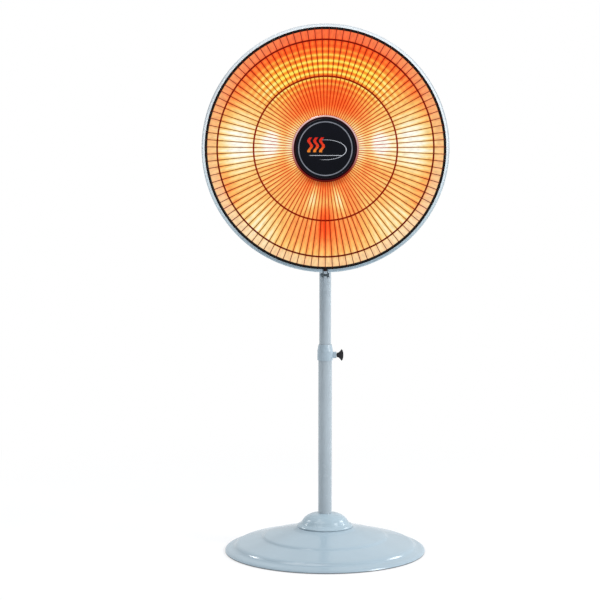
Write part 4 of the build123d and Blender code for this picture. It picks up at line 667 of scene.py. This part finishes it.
def sweep(mesh, points, radius, sides):
    """A round bar along the points, with its ends closed. No stretch of it may run straight along Y."""
    rings = []
    for index, point in enumerate(points):
        before, after = points[max(index - 1, 0)], points[min(index + 1, len(points) - 1)]
        along = (after - before).normalized()
        side = along.cross(Vector((0, 1, 0))).normalized()
        other = along.cross(side)
        rings.append([
            mesh.verts.new(point + radius * (math.cos(step) * side + math.sin(step) * other))
            for step in (2 * math.pi * corner / sides for corner in range(sides))
        ])
    for one, two in zip(rings, rings[1:]):
        for corner in range(sides):
            following = (corner + 1) % sides
            mesh.faces.new((one[corner], one[following], two[following], two[corner]))
    mesh.faces.new(rings[0][::-1])
    mesh.faces.new(rings[-1])


def guard_wires():
    """Thin round wires from under the hub plate, over both rings and down onto the hoop."""
    mesh = bmesh.new()
    for index in range(WIRE_COUNT):
        turn = math.pi + 2 * math.pi * index / WIRE_COUNT
        points = [
            in_head(radius * math.sin(turn), radius * math.cos(turn), forward) for radius, forward in WIRE_LINE
        ]
        sweep(mesh, points, WIRE_RADIUS * MM, WIRE_SIDES)
    bmesh.ops.recalc_face_normals(mesh, faces=mesh.faces)
    to_object("wires", mesh, "head", materials["guard_red_brown"], "guard_red_brown", "guard_wires")


guard_wires()

# Camera, level with the dish's centre
scene = bpy.context.scene
camera = bpy.data.objects.new("camera", bpy.data.cameras.new("camera"))
scene.collection.objects.link(camera)
camera.location = CAMERA_PLACE
camera.rotation_euler = (math.radians(CAMERA_TILT), 0.0, math.radians(CAMERA_TURN))
camera.data.lens = CAMERA_LENS
camera.data.sensor_width = SENSOR_WIDTH
camera.data.clip_end = CAMERA_REACH
scene.camera = camera


def floor():
    """Pale floor that keeps a light shadow near the heater and turns white away from it."""
    made = Shader("floor")
    far = made.node("ShaderNodeVectorMath", operation="LENGTH")
    made.link(made.place, far.inputs[0])
    share = made.spread(far.outputs["Value"], *FLOOR_FADE, FLOOR_NEAR_WHITE, 1.0)
    made.set(Base_Color=made.mottle(3.0, (236, 238, 240), (242, 243, 245)), Roughness=0.6)
    glow = made.node("ShaderNodeEmission")
    glow.inputs["Strength"].default_value = 1.0
    shown = made.times(made.background_rays(), share)
    made.blend(shown, made.surface.outputs["BSDF"], glow.outputs["Emission"], made.output)
    mesh = bmesh.new()
    bmesh.ops.create_grid(mesh, x_segments=FLOOR_CELLS, y_segments=FLOOR_CELLS, size=FLOOR_SIZE)
    data = bpy.data.meshes.new("floor")
    mesh.to_mesh(data)
    mesh.free()
    obj = bpy.data.objects.new("floor", data)
    scene.collection.objects.link(obj)
    data.materials.append(made.material)


def sky():
    """A pale sky that lights the heater, and white where the background itself is seen."""
    world = bpy.data.worlds.new("studio")
    world.use_nodes = True
    scene.world = world
    made = Graph(world.node_tree)
    shades = []
    for colour, strength in ((SKY_COLOUR, SKY_STRENGTH), (WHITE, 1.0)):
        shade = made.node("ShaderNodeBackground")
        shade.inputs["Color"].default_value = colour
        shade.inputs["Strength"].default_value = strength
        shades.append(shade.outputs["Background"])
    made.blend(made.background_rays(), *shades, made.node("ShaderNodeOutputWorld"))


def lamp(name, place, target, size, power):
    """A rectangular lamp that faces its target."""
    data = bpy.data.lights.new(name, "AREA")
    data.shape = "RECTANGLE"
    data.size, data.size_y = size
    data.energy = power
    obj = bpy.data.objects.new(name, data)
    scene.collection.objects.link(obj)
    obj.location = place
    obj.rotation_euler = (Vector(target) - Vector(place)).to_track_quat("-Z", "Y").to_euler()


floor()
sky()
for row in LAMPS:
    lamp(*row)

scene.view_settings.view_transform = "Standard"
